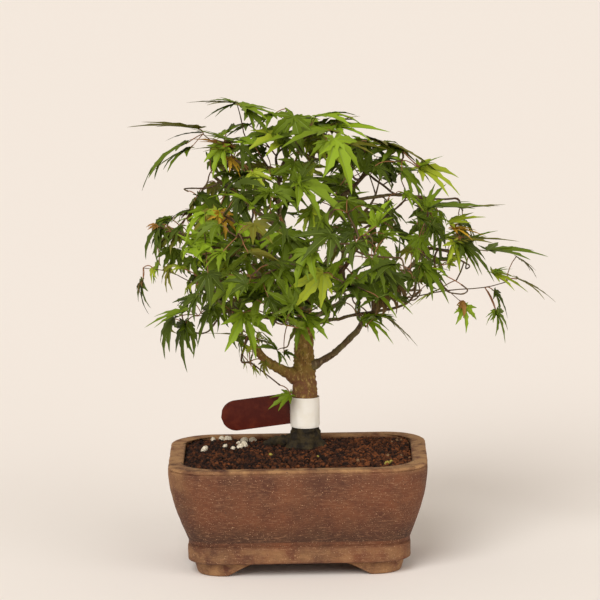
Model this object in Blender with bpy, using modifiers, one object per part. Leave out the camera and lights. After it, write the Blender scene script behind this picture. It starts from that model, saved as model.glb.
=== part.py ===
"""Japanese maple bonsai in an unglazed stoneware pot.

A short trunk with a flared foot stands in a deep rounded-rectangle pot on four cloud-cut feet. Boughs spring
from the trunk, from its leader and from each other, and each ends where it enters one mass of foliage: twigs
that branch from a single stem, with five-lobed leaves fused on. Metres, +Z up, standing on z = 0, with the
origin below the middle of the whole plant, so the pot lies a little to the left of it.
"""

import math

import bmesh
import bpy
import numpy as np
from mathutils.bvhtree import BVHTree

# Driving dimensions
POT_X = -0.033
POT_WIDTH = 0.203
POT_DEPTH = 0.152
POT_HEIGHT = 0.088
POT_WALL = 0.012
POT_FLOOR = 0.010
POT_CORNER = 0.034
POT_INNER_CORNER = 0.020
WAIST_INSET = 0.0145
FOOT_HEIGHT = 0.011
BAND_HEIGHT = 0.0125
SOIL_BELOW_RIM = 0.0035
SOIL_MOUND = 0.004
TRUNK_FOOT = (0.0055, 0.018)
TRUNK_TOP = (0.0080, 0.019, 0.212)
TRUNK_RADIUS = 0.0106
TRUNK_TOP_RADIUS = 0.0044
ROOT_FLARE = 0.0048
LABEL_LOW = 0.1045
LABEL_HEIGHT = 0.0245
CLEARANCE = 0.0003
LEAF_LENGTH = 0.036
SHOOT_LEAF_LENGTH = 0.017
TWIG_STEP = 0.013
TWIG_RADIUS = 0.00065
STALK_REACH = 0.021
SEED = 7


def clear_scene():
    for obj in list(bpy.data.objects):
        bpy.data.objects.remove(obj, do_unlink=True)


def new_collection(name):
    collection = bpy.data.collections.new(name)
    bpy.context.scene.collection.children.link(collection)
    return collection


def material(name, colour, roughness):
    made = bpy.data.materials.new(name)
    made.use_nodes = True
    shader = made.node_tree.nodes["Principled BSDF"]
    shader.inputs["Base Color"].default_value = (*colour, 1.0)
    shader.inputs["Roughness"].default_value = roughness
    shader.inputs["Metallic"].default_value = 0.0
    return made


clear_scene()
bonsai = new_collection("japanese_maple_bonsai")
workbench = new_collection("workbench")
clay = material("stoneware_clay", (0.16, 0.075, 0.045), 0.75)
granules = material("soil_granules", (0.06, 0.022, 0.014), 0.95)
bark = material("maple_bark", (0.15, 0.105, 0.05), 0.85)
green_bark = material("young_maple_bark", (0.13, 0.10, 0.035), 0.6)
leaf_green = material("maple_leaf", (0.07, 0.17, 0.03), 0.5)
white_paper = material("white_paper", (0.8, 0.78, 0.73), 0.6)
brown_card = material("brown_card", (0.07, 0.016, 0.012), 0.35)

pot_middle = bpy.data.objects.new("pot_middle", None)
pot_middle.location = (POT_X, 0.0, 0.0)
bonsai.objects.link(pot_middle)


def put(name, mesh, finish, smooth_below=None, collection=bonsai):
    """A finished mesh as a named object under the pot's middle."""
    mesh.materials.clear()
    mesh.materials.append(finish)
    obj = bpy.data.objects.new(name, mesh)
    collection.objects.link(obj)
    if collection is bonsai:
        obj.parent = pot_middle
    if smooth_below is not None:
        mesh.shade_smooth()
        mesh.set_sharp_from_angle(angle=math.radians(smooth_below))
    return obj


def lofted(name, rings):
    """A closed mesh through rings of like point counts, with a flat cap on the first and the last."""
    shape = bmesh.new()
    rows = [[shape.verts.new(point) for point in ring] for ring in rings]
    for low, high in zip(rows, rows[1:]):
        for i in range(len(low)):
            after = (i + 1) % len(low)
            shape.faces.new((low[i], low[after], high[after], high[i]))
    shape.faces.new(rows[0])
    shape.faces.new(rows[-1])
    bmesh.ops.recalc_face_normals(shape, faces=shape.faces)
    mesh = bpy.data.meshes.new(name)
    shape.to_mesh(mesh)
    shape.free()
    return mesh


def rounded_rectangle(half_width, half_depth, corner, z, centre=(0.0, 0.0), corner_steps=4):
    """The outline of a rectangle with round corners, anticlockwise from the right-hand side."""
    ring = []
    for turn, (side_x, side_y) in enumerate(((1, 1), (-1, 1), (-1, -1), (1, -1))):
        for step in range(corner_steps + 1):
            angle = math.radians(90 * (turn + step / corner_steps))
            x = side_x * (half_width - corner) + corner * math.cos(angle)
            y = side_y * (half_depth - corner) + corner * math.sin(angle)
            ring.append((centre[0] + x, centre[1] + y, z))
    return ring


# Pot: the wall swells from the waist to the rim along a quarter sine, over a base band that stands out
BAND_TOP = FOOT_HEIGHT + BAND_HEIGHT
BAND_ROUNDING = 0.0015
BAND_PROUD = 0.0003
WAIST_HEIGHT = BAND_TOP + 3 * BAND_ROUNDING
RIM_THICK = 0.0028
RIM_LOW = POT_HEIGHT - RIM_THICK
RIM_GROOVE = 0.0007
RIM_ROUNDING = 0.0017
RIM_INNER_ROUNDING = 0.001
CORNER_SHRINK = 0.6
WALL_STEPS = 7
FLOOR_TOP = FOOT_HEIGHT + POT_FLOOR
SOIL_EDGE = POT_HEIGHT - SOIL_BELOW_RIM
INNER_LEVELS = tuple(np.linspace(FLOOR_TOP, SOIL_EDGE, 5))


def wall_inset(z):
    """How far the outer wall lies inside the rim's outline at a height."""
    share = min(max((z - WAIST_HEIGHT) / (RIM_LOW - WAIST_HEIGHT), 0.0), 1.0)
    return WAIST_INSET * (1.0 - math.sin(0.5 * math.pi * share))


def pot_outline(z, inset, corner=POT_CORNER):
    """The rim's outline drawn in by an inset, with corners that tighten as the wall narrows."""
    half_width = POT_WIDTH / 2 - inset
    half_depth = POT_DEPTH / 2 - inset
    return rounded_rectangle(half_width, half_depth, corner - CORNER_SHRINK * wall_inset(z), z)


def inner_outline(z, thickness):
    """The outline that lies a wall's thickness inside the outer wall."""
    return pot_outline(z, wall_inset(z) + thickness, POT_INNER_CORNER)


def build_pot():
    outside = [
        pot_outline(FOOT_HEIGHT, WAIST_INSET + BAND_ROUNDING),
        pot_outline(FOOT_HEIGHT + BAND_ROUNDING, WAIST_INSET),
        pot_outline(BAND_TOP, WAIST_INSET - BAND_PROUD),
        pot_outline(BAND_TOP + BAND_ROUNDING, WAIST_INSET + BAND_ROUNDING - BAND_PROUD),
    ]
    levels = np.linspace(WAIST_HEIGHT, RIM_LOW - RIM_GROOVE, WALL_STEPS)
    outside += [pot_outline(z, wall_inset(z)) for z in levels]
    outside += [
        pot_outline(RIM_LOW, RIM_GROOVE),
        pot_outline(RIM_LOW + RIM_GROOVE, 0.0),
        pot_outline(POT_HEIGHT - 0.4 * RIM_ROUNDING, 0.2 * RIM_ROUNDING),
        pot_outline(POT_HEIGHT, RIM_ROUNDING),
    ]
    inside = [
        pot_outline(POT_HEIGHT, POT_WALL - RIM_INNER_ROUNDING, POT_INNER_CORNER),
        inner_outline(POT_HEIGHT - RIM_INNER_ROUNDING, POT_WALL),
    ]
    inside += [inner_outline(z, POT_WALL) for z in INNER_LEVELS[::-1]]
    put("pot", lofted("pot", outside + inside), clay, smooth_below=40)


# Feet: each wraps one corner of the pot, and its two ends rise to the band in a cloud-shaped scallop
FOOT_THICK = 0.013
FOOT_INSET = 0.0045
FOOT_TAPER = 0.003
FOOT_REACH = 0.0226
FOOT_CORNER = 0.0208
CLOUD_SPREAD = 0.0262
FOOT_LEVELS = (0.0, 0.15, 0.4, 0.7, 0.9, 1.0)


def foot_ring(side_x, side_y, share):
    """The foot's outline at a share of its height: an L round the corner that lengthens towards the top,
    evenly at first and faster just under the band."""
    z = share * (FOOT_HEIGHT - CLEARANCE)
    spread = CLOUD_SPREAD * (0.85 * share + 0.15 * share**6)
    inset = WAIST_INSET + FOOT_INSET + FOOT_TAPER * (1.0 - share)
    half_width = POT_WIDTH / 2 - inset
    half_depth = POT_DEPTH / 2 - inset
    along_front = half_width - FOOT_REACH - spread
    along_side = half_depth - FOOT_REACH - 0.5 * spread
    ring = [(along_front, half_depth)]
    for angle in np.radians((90, 67.5, 45, 22.5, 0)):
        x = half_width - FOOT_CORNER + FOOT_CORNER * math.cos(angle)
        y = half_depth - FOOT_CORNER + FOOT_CORNER * math.sin(angle)
        ring.append((x, y))
    ring.append((half_width, along_side))
    ring.append((half_width - FOOT_THICK, along_side))
    ring.append((half_width - FOOT_THICK, half_depth - FOOT_THICK))
    ring.append((along_front, half_depth - FOOT_THICK))
    return [(side_x * x, side_y * y, z) for x, y in ring]


def build_feet():
    corners = {"front_left": (-1, -1), "front_right": (1, -1), "back_left": (-1, 1), "back_right": (1, 1)}
    for place, (side_x, side_y) in corners.items():
        rings = [foot_ring(side_x, side_y, share) for share in FOOT_LEVELS]
        put(f"pot_foot_{place}", lofted(place, rings), clay, smooth_below=35)


# Soil: fills the pot from its floor to just under the rim, and rises to the trunk's foot. Its top is lumpy, as
# loose granules lie, and level only under the trunk.
SOIL_TOP = SOIL_EDGE + SOIL_MOUND
SOIL_RELIEF = 0.0011
DOME_RINGS = 7
DOME_REACH = 0.78
LONG_SIDE_POINTS = 6
SHORT_SIDE_POINTS = 3


def with_side_points(ring):
    """The outline of four arcs with points spread along the straight sides between them."""
    arc_points = len(ring) // 4
    full = []
    for turn in range(4):
        arc = ring[turn * arc_points:(turn + 1) * arc_points]
        following = ring[(turn + 1) * arc_points % len(ring)]
        count = SHORT_SIDE_POINTS if turn % 2 else LONG_SIDE_POINTS
        full += arc
        full += [tuple(point) for point in np.linspace(arc[-1], following, count + 2)[1:-1]]
    return full


def build_soil():
    """Inside the pot's wall by the clearance, then domed: each outline drawn in towards the trunk's foot, and
    each of its points raised or lowered at random. None rises above the trunk's flat foot."""
    chance = np.random.default_rng(SEED)
    levels = (FLOOR_TOP + CLEARANCE, *INNER_LEVELS[1:])
    rings = [with_side_points(inner_outline(z, POT_WALL + CLEARANCE)) for z in levels]
    half_width = POT_WIDTH / 2 - POT_WALL - CLEARANCE
    half_depth = POT_DEPTH / 2 - POT_WALL - CLEARANCE
    for share in np.linspace(DOME_REACH / DOME_RINGS, DOME_REACH, DOME_RINGS):
        centre = (share * TRUNK_FOOT[0], share * TRUNK_FOOT[1])
        size = 1.0 - share
        height = SOIL_EDGE + SOIL_MOUND * math.sin(0.5 * math.pi * share / DOME_REACH)
        corner = size * POT_INNER_CORNER
        outline = rounded_rectangle(size * half_width, size * half_depth, corner, height, centre)
        relief = SOIL_RELIEF if height < SOIL_TOP else 0.0
        rings.append([
            (x, y, min(z + relief * chance.uniform(-1.0, 1.0), SOIL_TOP)) for x, y, z in with_side_points(outline)
        ])
    put("soil", lofted("soil", rings), granules, smooth_below=15)


# Limbs: the trunk and the boughs, each a path of points with a radius at each
limbs = {}
TRUNK_LEAVING = (0.004, 0.0, 0.14)
TRUNK_ARRIVING = (0.008, 0.002, 0.12)
TRUNK_RINGS = 12
TRUNK_SIDES = 16
TAPER_POWER = 1.35
FLARE_FADE = 0.008
ROOT_RIDGES = 5
RIDGE_DEPTH = 0.16
RIDGE_FADE = 0.007


def smooth_path(base, leaving, arriving, tip, count):
    """A Bezier curve from base to tip that leaves and arrives along the two given vectors."""
    a, d = np.array(base), np.array(tip)
    b, c = a + np.array(leaving) / 3, d - np.array(arriving) / 3
    t = np.linspace(0.0, 1.0, count)[:, None]
    return a * (1 - t) ** 3 + 3 * b * t * (1 - t) ** 2 + 3 * c * t**2 * (1 - t) + d * t**3


def trunk_radius(height):
    """Taper towards the top, and a flare that fades within a few centimetres of the soil."""
    share = (height - SOIL_TOP) / (TRUNK_TOP[2] - SOIL_TOP)
    taper = TRUNK_RADIUS + (TRUNK_TOP_RADIUS - TRUNK_RADIUS) * share**TAPER_POWER
    return taper + ROOT_FLARE * math.exp(-(height - SOIL_TOP) / FLARE_FADE)


def trunk_mesh(name, grown):
    """The trunk as rings round its bent axis, widened by an amount, with root ridges at the foot."""
    low = SOIL_TOP + CLEARANCE
    path = smooth_path((*TRUNK_FOOT, low), TRUNK_LEAVING, TRUNK_ARRIVING, TRUNK_TOP, TRUNK_RINGS)
    radii = np.array([trunk_radius(max(z, low)) for z in path[:, 2]])
    rings = []
    for (x, y, z), radius in zip(path, radii):
        ridge = RIDGE_DEPTH * math.exp(-(z - low) / RIDGE_FADE)
        ring = []
        for step in range(TRUNK_SIDES):
            angle = 2 * math.pi * step / TRUNK_SIDES
            reach = (radius + grown) * (1.0 + ridge * math.cos(ROOT_RIDGES * angle + 0.7))
            ring.append((x + reach * math.cos(angle), y + reach * math.sin(angle), z))
        rings.append(ring)
    if grown:
        rings[-1] = [(x, y, z + grown) for x, y, z in rings[-1]]
    limbs["trunk"] = (path, radii)
    return lofted(name, rings)


def tube(name, path, radii, sides=None):
    """A tapering tube along a path, round, or with the few sides of a given profile."""
    curve = bpy.data.curves.new(name, "CURVE")
    curve.dimensions = "3D"
    curve.use_fill_caps = True
    if sides is None:
        curve.bevel_depth = 1.0
        curve.bevel_resolution = 2 if radii[0] > 0.0025 else 1
    else:
        curve.bevel_mode = "OBJECT"
        curve.bevel_object = sides
    spline = curve.splines.new("POLY")
    spline.points.add(len(path) - 1)
    for point, place, radius in zip(spline.points, path, radii):
        point.co = (*place, 1.0)
        point.radius = radius
    obj = bpy.data.objects.new(name, curve)
    workbench.objects.link(obj)
    return obj


def as_mesh(curve_object):
    """The evaluated curve as a mesh with its caps welded on; the curve object is removed."""
    graph = bpy.context.evaluated_depsgraph_get()
    mesh = bpy.data.meshes.new_from_object(curve_object.evaluated_get(graph))
    shape = bmesh.new()
    shape.from_mesh(mesh)
    bmesh.ops.remove_doubles(shape, verts=shape.verts, dist=1e-7)
    bmesh.ops.recalc_face_normals(shape, faces=shape.faces)
    shape.to_mesh(mesh)
    shape.free()
    bpy.data.objects.remove(curve_object, do_unlink=True)
    return mesh


def largest_body(mesh):
    """The mesh with all but its largest closed body removed: scraps go, and a sealed hollow is filled."""
    shape = bmesh.new()
    shape.from_mesh(mesh)
    left = set(shape.faces)
    bodies = []
    while left:
        stack = [left.pop()]
        body = set(stack)
        while stack:
            for edge in stack.pop().edges:
                for face in edge.link_faces:
                    if face in left:
                        left.discard(face)
                        body.add(face)
                        stack.append(face)
        bodies.append(body)
    keep = max(bodies, key=len)
    bmesh.ops.delete(shape, geom=[face for face in shape.faces if face not in keep], context="FACES")
    bmesh.ops.triangulate(shape, faces=shape.faces)
    shape.to_mesh(mesh)
    shape.free()
    return mesh


def combined(base, operation, solver, other=None, collection=None):
    """The base object's mesh after one Boolean with another object or with a whole collection."""
    boolean = base.modifiers.new("join", "BOOLEAN")
    boolean.operation = operation
    boolean.solver = solver
    if collection is None:
        boolean.object = other
    else:
        boolean.operand_type = "COLLECTION"
        boolean.collection = collection
    bpy.context.view_layer.update()
    graph = bpy.context.evaluated_depsgraph_get()
    mesh = bpy.data.meshes.new_from_object(base.evaluated_get(graph))
    bpy.data.objects.remove(base, do_unlink=True)
    return largest_body(mesh)


def build_trunk():
    put("trunk", trunk_mesh("trunk", 0.0), bark, smooth_below=60)


def along(name, share):
    """The point at a share of a limb's length, and the limb's direction there."""
    path, _ = limbs[name]
    place = share * (len(path) - 1)
    i = min(int(place), len(path) - 2)
    step = path[i + 1] - path[i]
    return path[i] + (place - i) * step, step / np.linalg.norm(step)


def grown_limb(name):
    """A cutter: the limb widened by the clearance."""
    if name == "trunk":
        mesh = trunk_mesh("cutter", CLEARANCE)
    else:
        path, radii = limbs[name]
        curve = tube("cutter", path, radii + CLEARANCE)
        bpy.context.view_layer.update()
        mesh = as_mesh(curve)
    cutter = put("cutter", mesh, bark, collection=workbench)
    cutter.hide_render = True
    cutter.display_type = "WIRE"
    return cutter


BOUGH_POINTS = 7


def build_bough(name, parent, share, leaving, arriving, tip, thick, thin, finish):
    """One tapering limb from its parent's surface to the point where it enters its mass."""
    base, _ = along(parent, share)
    path = smooth_path(base, leaving, arriving, tip, BOUGH_POINTS)
    radii = thick + (thin - thick) * np.linspace(0.0, 1.0, len(path)) ** 0.8
    limbs[name] = (path, radii)
    curve = tube(name, path, radii)
    bpy.context.view_layer.update()
    limb = put("uncut", as_mesh(curve), finish, collection=workbench)
    cutter = grown_limb(parent)
    mesh = combined(limb, "DIFFERENCE", "EXACT", other=cutter)
    bpy.data.objects.remove(cutter, do_unlink=True)
    put(name, mesh, finish, smooth_below=60)


# Each bough: what it springs from and where along it, the vectors along which it leaves and arrives, its tip,
# and its radius at both ends. Those after bough_right_back carry the crown's front and back.
BOUGHS = {
    "leader": (
        "trunk", 0.99, (0.012, 0.004, 0.080), (0.070, 0.012, 0.050),
        (0.043, 0.028, 0.290), 0.0038, 0.0019,
    ),
    "bough_low_right": (
        "trunk", 0.49, (0.110, -0.020, 0.030), (0.090, 0.006, 0.085),
        (0.100, 0.004, 0.243), 0.0031, 0.0015,
    ),
    "bough_low_left": (
        "trunk", 0.42, (-0.060, -0.010, 0.020), (-0.020, -0.006, 0.040),
        (-0.034, 0.007, 0.174), 0.0050, 0.0026,
    ),
    "bough_mid_left": (
        "trunk", 0.80, (-0.040, -0.020, 0.010), (-0.040, -0.015, 0.012),
        (-0.044, -0.006, 0.201), 0.0020, 0.0013,
    ),
    "bough_mid_right": (
        "trunk", 0.77, (0.030, -0.010, 0.012), (0.030, -0.024, 0.010),
        (0.044, -0.012, 0.198), 0.0018, 0.0012,
    ),
    "bough_top": (
        "leader", 0.12, (-0.050, -0.012, 0.060), (0.008, -0.002, 0.070),
        (-0.011, 0.012, 0.302), 0.0030, 0.0015,
    ),
    "bough_top_left": (
        "bough_top", 0.55, (-0.040, -0.004, 0.020), (-0.040, -0.008, 0.030),
        (-0.046, 0.006, 0.294), 0.0019, 0.0012,
    ),
    "bough_upper_right": (
        "leader", 0.80, (0.040, 0.000, 0.004), (0.040, -0.010, 0.000),
        (0.076, 0.020, 0.288), 0.0018, 0.0012,
    ),
    "bough_upper_left": (
        "trunk", 0.90, (-0.050, 0.000, 0.030), (-0.040, 0.004, 0.030),
        (-0.050, 0.017, 0.246), 0.0022, 0.0013,
    ),
    "bough_right_back": (
        "bough_low_right", 0.62, (0.030, 0.030, 0.004), (0.030, 0.026, -0.006),
        (0.083, 0.030, 0.210), 0.0016, 0.0011,
    ),
    "bough_front_left": (
        "trunk", 0.93, (-0.016, -0.056, 0.030), (-0.020, -0.050, 0.036),
        (-0.014, -0.044, 0.248), 0.0022, 0.0013,
    ),
    "bough_front_right": (
        "trunk", 0.88, (0.018, -0.050, 0.034), (0.024, -0.050, 0.036),
        (0.034, -0.044, 0.236), 0.0022, 0.0013,
    ),
    "bough_front_low": (
        "trunk", 0.83, (-0.004, -0.040, 0.012), (-0.006, -0.040, 0.014),
        (-0.001, -0.030, 0.205), 0.0018, 0.0012,
    ),
    "bough_back_left": (
        "trunk", 0.92, (-0.030, 0.046, 0.030), (-0.036, 0.040, 0.036),
        (-0.028, 0.056, 0.252), 0.0022, 0.0013,
    ),
    "bough_back_right": (
        "trunk", 0.89, (0.026, 0.044, 0.030), (0.032, 0.040, 0.034),
        (0.036, 0.058, 0.248), 0.0022, 0.0013,
    ),
    "bough_back_low_left": (
        "trunk", 0.85, (-0.024, 0.040, 0.012), (-0.026, 0.036, 0.014),
        (-0.018, 0.050, 0.204), 0.0018, 0.0012,
    ),
    "bough_back_low_right": (
        "trunk", 0.81, (0.030, 0.036, 0.012), (0.030, 0.034, 0.014),
        (0.036, 0.050, 0.199), 0.0018, 0.0012,
    ),
}

# Each mass: the bough that carries it, the middle of its space, how far it reaches, and its number of leaves
MASSES = {
    "foliage_top": ("bough_top", (0.002, 0.004, 0.333), 0.050, 14),
    "foliage_top_left": ("bough_top_left", (-0.080, -0.002, 0.318), 0.058, 15),
    "foliage_top_right": ("leader", (0.065, 0.020, 0.317), 0.054, 14),
    "foliage_upper_right": ("bough_upper_right", (0.122, 0.012, 0.279), 0.053, 14),
    "foliage_right": ("bough_low_right", (0.146, -0.008, 0.234), 0.062, 16),
    "foliage_right_back": ("bough_right_back", (0.112, 0.050, 0.206), 0.048, 12),
    "foliage_right_low": ("bough_mid_right", (0.076, -0.042, 0.205), 0.048, 12),
    "foliage_left": ("bough_upper_left", (-0.085, 0.018, 0.258), 0.056, 14),
    "foliage_left_low": ("bough_mid_left", (-0.080, -0.016, 0.206), 0.056, 14),
    "foliage_low_left_shoots": ("bough_low_left", (-0.046, 0.000, 0.172), 0.030, 9),
    "foliage_front_left": ("bough_front_left", (-0.034, -0.082, 0.266), 0.056, 14),
    "foliage_front_right": ("bough_front_right", (0.050, -0.082, 0.256), 0.056, 13),
    "foliage_front_low": ("bough_front_low", (-0.008, -0.066, 0.208), 0.046, 12),
    "foliage_back_left": ("bough_back_left", (-0.056, 0.085, 0.270), 0.056, 14),
    "foliage_back_right": ("bough_back_right", (0.062, 0.083, 0.268), 0.054, 14),
    "foliage_back_low_left": ("bough_back_low_left", (-0.040, 0.076, 0.212), 0.047, 12),
    "foliage_back_low_right": ("bough_back_low_right", (0.056, 0.078, 0.208), 0.047, 12),
}
FURTHEST_TIPS = {
    "foliage_top": ((-0.004, 0.000, 0.3705),),
    "foliage_top_left": ((-0.131, -0.004, 0.343), (-0.070, -0.006, 0.366)),
    "foliage_top_right": ((0.054, 0.018, 0.366), (0.108, 0.020, 0.325)),
    "foliage_upper_right": ((0.132, 0.010, 0.326), (0.160, 0.000, 0.303)),
    "foliage_right": ((0.199, -0.010, 0.245), (0.199, -0.004, 0.212), (0.158, -0.006, 0.176)),
    "foliage_left": ((-0.132, 0.012, 0.280), (-0.126, 0.010, 0.240)),
    "foliage_left_low": ((-0.128, -0.014, 0.224), (-0.118, -0.016, 0.186), (-0.090, -0.018, 0.157)),
    "foliage_front_left": ((-0.040, -0.133, 0.258),),
    "foliage_front_right": ((0.052, -0.134, 0.246),),
    "foliage_back_left": ((-0.060, 0.135, 0.260),),
    "foliage_back_right": ((0.066, 0.134, 0.256),),
}
CROWN_MIDDLE = np.array((0.02, 0.0, 0.235))
CROWN_TOP = 0.371
SPACE_MARGIN = 0.0006
LIMB_MARGIN = 0.0010
SITE_TRIES = 2000
SITE_REACH = 0.72
WIDEST_SPACING = 0.38
SPACING_DROP = 0.18
GROWTH_ROUNDS = 40
TWIG_KEEPS_ON = 0.08
TWIG_ELBOW_ROOM = 0.4
TWIG_THICKENING = 0.4
LEAF_TRIES = 200
LEAF_ALONG_STALK = 0.7
LEAF_OUTWARDS = 0.6
LEAF_HANG = 0.45
FACE_OUTWARDS = 0.5
FACE_UPWARDS = 0.9


def inside_space(name, points):
    """True for points within the mass's reach and on its side of the plane between it and each other."""
    _, centre, reach, _ = MASSES[name]
    own = ((points - np.array(centre)) ** 2).sum(axis=1) - reach**2
    inside = own < 0.0
    for other, (_, other_centre, other_reach, _) in MASSES.items():
        if other != name:
            apart = 2.0 * np.linalg.norm(np.array(other_centre) - np.array(centre)) * SPACE_MARGIN
            theirs = ((points - np.array(other_centre)) ** 2).sum(axis=1) - other_reach**2
            inside &= own + apart < theirs
    return inside


def clear_of_limbs(points):
    """True for points that lie outside every trunk or bough by the margin."""
    clear = np.ones(len(points), bool)
    for path, radii in limbs.values():
        for a, b, ra, rb in zip(path, path[1:], radii, radii[1:]):
            t = np.clip((points - a) @ (b - a) / ((b - a) @ (b - a)), 0.0, 1.0)
            apart = np.linalg.norm(points - (a + t[:, None] * (b - a)), axis=1)
            clear &= apart > ra + t * (rb - ra) + LIMB_MARGIN
    return clear


def unit(vector):
    return vector / np.linalg.norm(vector)


# A leaf is a star of five lobes round the end of its stalk, a thin double fan that is thickest in the middle
LOBE_ANGLES = (0.0, 41.0, 84.0)
LOBE_LENGTHS = (1.0, 0.84, 0.54)
NOTCH_SHARE = 0.34
TIP_DROOP = 0.13
LEAF_HALF_THICK = 0.0005
STALK_HALF_WIDTH = 0.0006


def leaf_outline():
    """The rim as (along, across, lift) in shares of the leaf's length, from one side of the stalk to the
    other: lobe tips bend down and the notches between them don't."""
    rim = []
    for side in (-1, 1):
        half = []
        for lobe, (degrees, length) in enumerate(zip(LOBE_ANGLES, LOBE_LENGTHS)):
            angle = math.radians(degrees)
            half.append((length * math.cos(angle), side * length * math.sin(angle), -TIP_DROOP * length))
            if lobe + 1 < len(LOBE_ANGLES):
                angle = math.radians((degrees + LOBE_ANGLES[lobe + 1]) / 2)
                half.append((NOTCH_SHARE * math.cos(angle), side * NOTCH_SHARE * math.sin(angle), 0.0))
        half.append((-0.05, side * 0.028, 0.0))
        rim += half[::-1] if side < 0 else half[1:]
    return np.array(rim)


LEAF_RIM = leaf_outline()


def leaf_points(node, site, forward, face, length):
    """The leaf's upper and lower middle, its rim, and the four corners of the stalk's end inside the twig."""
    across = unit(np.cross(face, forward))
    face = np.cross(forward, across)
    middles = np.array([site + LEAF_HALF_THICK * face, site - LEAF_HALF_THICK * face])
    rim = site + length * (LEAF_RIM[:, :1] * forward + LEAF_RIM[:, 1:2] * across + LEAF_RIM[:, 2:] * face)
    stalk = unit(site - node)
    beside = unit(np.cross(face, stalk))
    above = np.cross(stalk, beside)
    end = node + STALK_HALF_WIDTH * np.array([above, beside, -above, -beside])
    return np.vstack([middles, rim, end])


def leaf_faces():
    last = 1 + len(LEAF_RIM)
    faces = []
    for here in range(2, last):
        faces.append((0, here, here + 1))
        faces.append((1, here + 1, here))
    near = (0, last, 1, 2)
    far = (last + 1, last + 2, last + 3, last + 4)
    for i in range(4):
        after = (i + 1) % 4
        faces.append((near[i], near[after], far[after]))
        faces.append((near[i], far[after], far[i]))
    faces.append(far)
    return faces


LEAF_FACES = leaf_faces()
BLADE_FACES = [face for face in LEAF_FACES if max(face) < 2 + len(LEAF_RIM)]


def leaf_mesh(points):
    mesh = bpy.data.meshes.new("leaf")
    mesh.from_pydata([tuple(point) for point in points], [], LEAF_FACES)
    return mesh


def way_to(name, tip):
    """The way that the middle lobe of a leaf points when it ends at one of the crown's furthest tips."""
    return unit(unit(np.array(tip) - np.array(MASSES[name][1])) + np.array((0.0, 0.0, -0.15)))


def choose_sites(name, count, length, chance):
    """Places for leaves: one behind each of the mass's furthest tips, and the rest spread evenly through
    the inner part of the space."""
    _, centre, reach, _ = MASSES[name]
    sites = [np.array(tip) - length * way_to(name, tip) for tip in FURTHEST_TIPS.get(name, ())]
    for attempt in range(SITE_TRIES):
        outward = unit(chance.normal(size=3))
        site = np.array(centre) + SITE_REACH * reach * outward * chance.uniform() ** (1 / 3)
        spacing = reach * (WIDEST_SPACING - SPACING_DROP * attempt / SITE_TRIES)
        if all(np.linalg.norm(site - other) > spacing for other in sites):
            if inside_space(name, site[None]).all() and clear_of_limbs(site[None]).all():
                sites.append(site)
        if len(sites) == count:
            break
    return np.array(sites)


def grow_twigs(name, start, heading, sites):
    """Nodes and parents of a tree that grows from one stem: each step, every site that no twig has reached
    yet pulls the nearest node, and each pulled node puts out one step towards the mean of its pulls."""
    nodes = [start, start + TWIG_STEP * heading]
    parents = [-1, 0]
    served = {}
    for _ in range(GROWTH_ROUNDS):
        apart = np.linalg.norm(np.array(nodes)[None, 1:] - sites[:, None], axis=2)
        nearest = apart.argmin(axis=1) + 1
        for site in range(len(sites)):
            if site not in served and apart[site, nearest[site] - 1] < STALK_REACH:
                served[site] = int(nearest[site])
        pulls = {}
        for site in range(len(sites)):
            if site not in served:
                pulls.setdefault(int(nearest[site]), []).append(unit(sites[site] - nodes[nearest[site]]))
        grown = 0
        for node, ways in pulls.items():
            new = nodes[node] + TWIG_STEP * unit(np.mean(ways, axis=0) + TWIG_KEEPS_ON * heading)
            between = np.array([new, (new + nodes[node]) / 2])
            crowded = np.linalg.norm(np.array(nodes) - new, axis=1).min() < TWIG_ELBOW_ROOM * TWIG_STEP
            if crowded or not inside_space(name, new[None]).all() or not clear_of_limbs(between).all():
                continue
            nodes.append(new)
            parents.append(node)
            grown += 1
        if not grown:
            break
    return np.array(nodes), parents, served


def place_leaves(name, nodes, sites, served, count, length, chance):
    """One leaf at the end of a stalk from its twig to each site, turned until it lies wholly inside the
    space, under the crown's top, clear of the limbs and across no other leaf. A leaf that never does is
    skipped."""
    centre = np.array(MASSES[name][1])
    leaves = {}
    trees = []
    for site, node in served.items():
        place = sites[site]
        stalk = unit(place - nodes[node])
        away = unit(unit(place - centre) + unit(place - CROWN_MIDDLE))
        tips = FURTHEST_TIPS.get(name, ())
        for attempt in range(LEAF_TRIES):
            loose = 0.15 + 0.6 * attempt / LEAF_TRIES
            hang = np.array((0.0, 0.0, -LEAF_HANG))
            outward = LEAF_ALONG_STALK * stalk + LEAF_OUTWARDS * away
            forward = unit(outward + hang + loose * chance.normal(size=3))
            if site < len(tips):
                forward = unit(way_to(name, tips[site]) + 0.2 * loose * chance.normal(size=3))
            upward = np.array((0.0, 0.0, FACE_UPWARDS))
            face = unit(FACE_OUTWARDS * away + upward + 0.5 * loose * chance.normal(size=3))
            if forward @ stalk < 0.2 or abs(face @ forward) > 0.9 or abs(face @ stalk) > 0.9:
                continue
            size = length * (1.0 if site < len(tips) else chance.uniform(0.85, 1.08))
            points = leaf_points(nodes[node], place, forward, face, size)
            blade = points[: 2 + len(LEAF_RIM)]
            samples = np.vstack([points, (blade + place) / 2, (place + nodes[node]) / 2])
            if not inside_space(name, blade).all() or not clear_of_limbs(samples).all():
                continue
            if blade[:, 2].max() > CROWN_TOP:
                continue
            tree = BVHTree.FromPolygons([tuple(point) for point in blade], BLADE_FACES)
            if any(tree.overlap(other) for other in trees):
                continue
            trees.append(tree)
            leaves[site] = points
            break
        if len(leaves) == count:
            break
    return leaves


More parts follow.
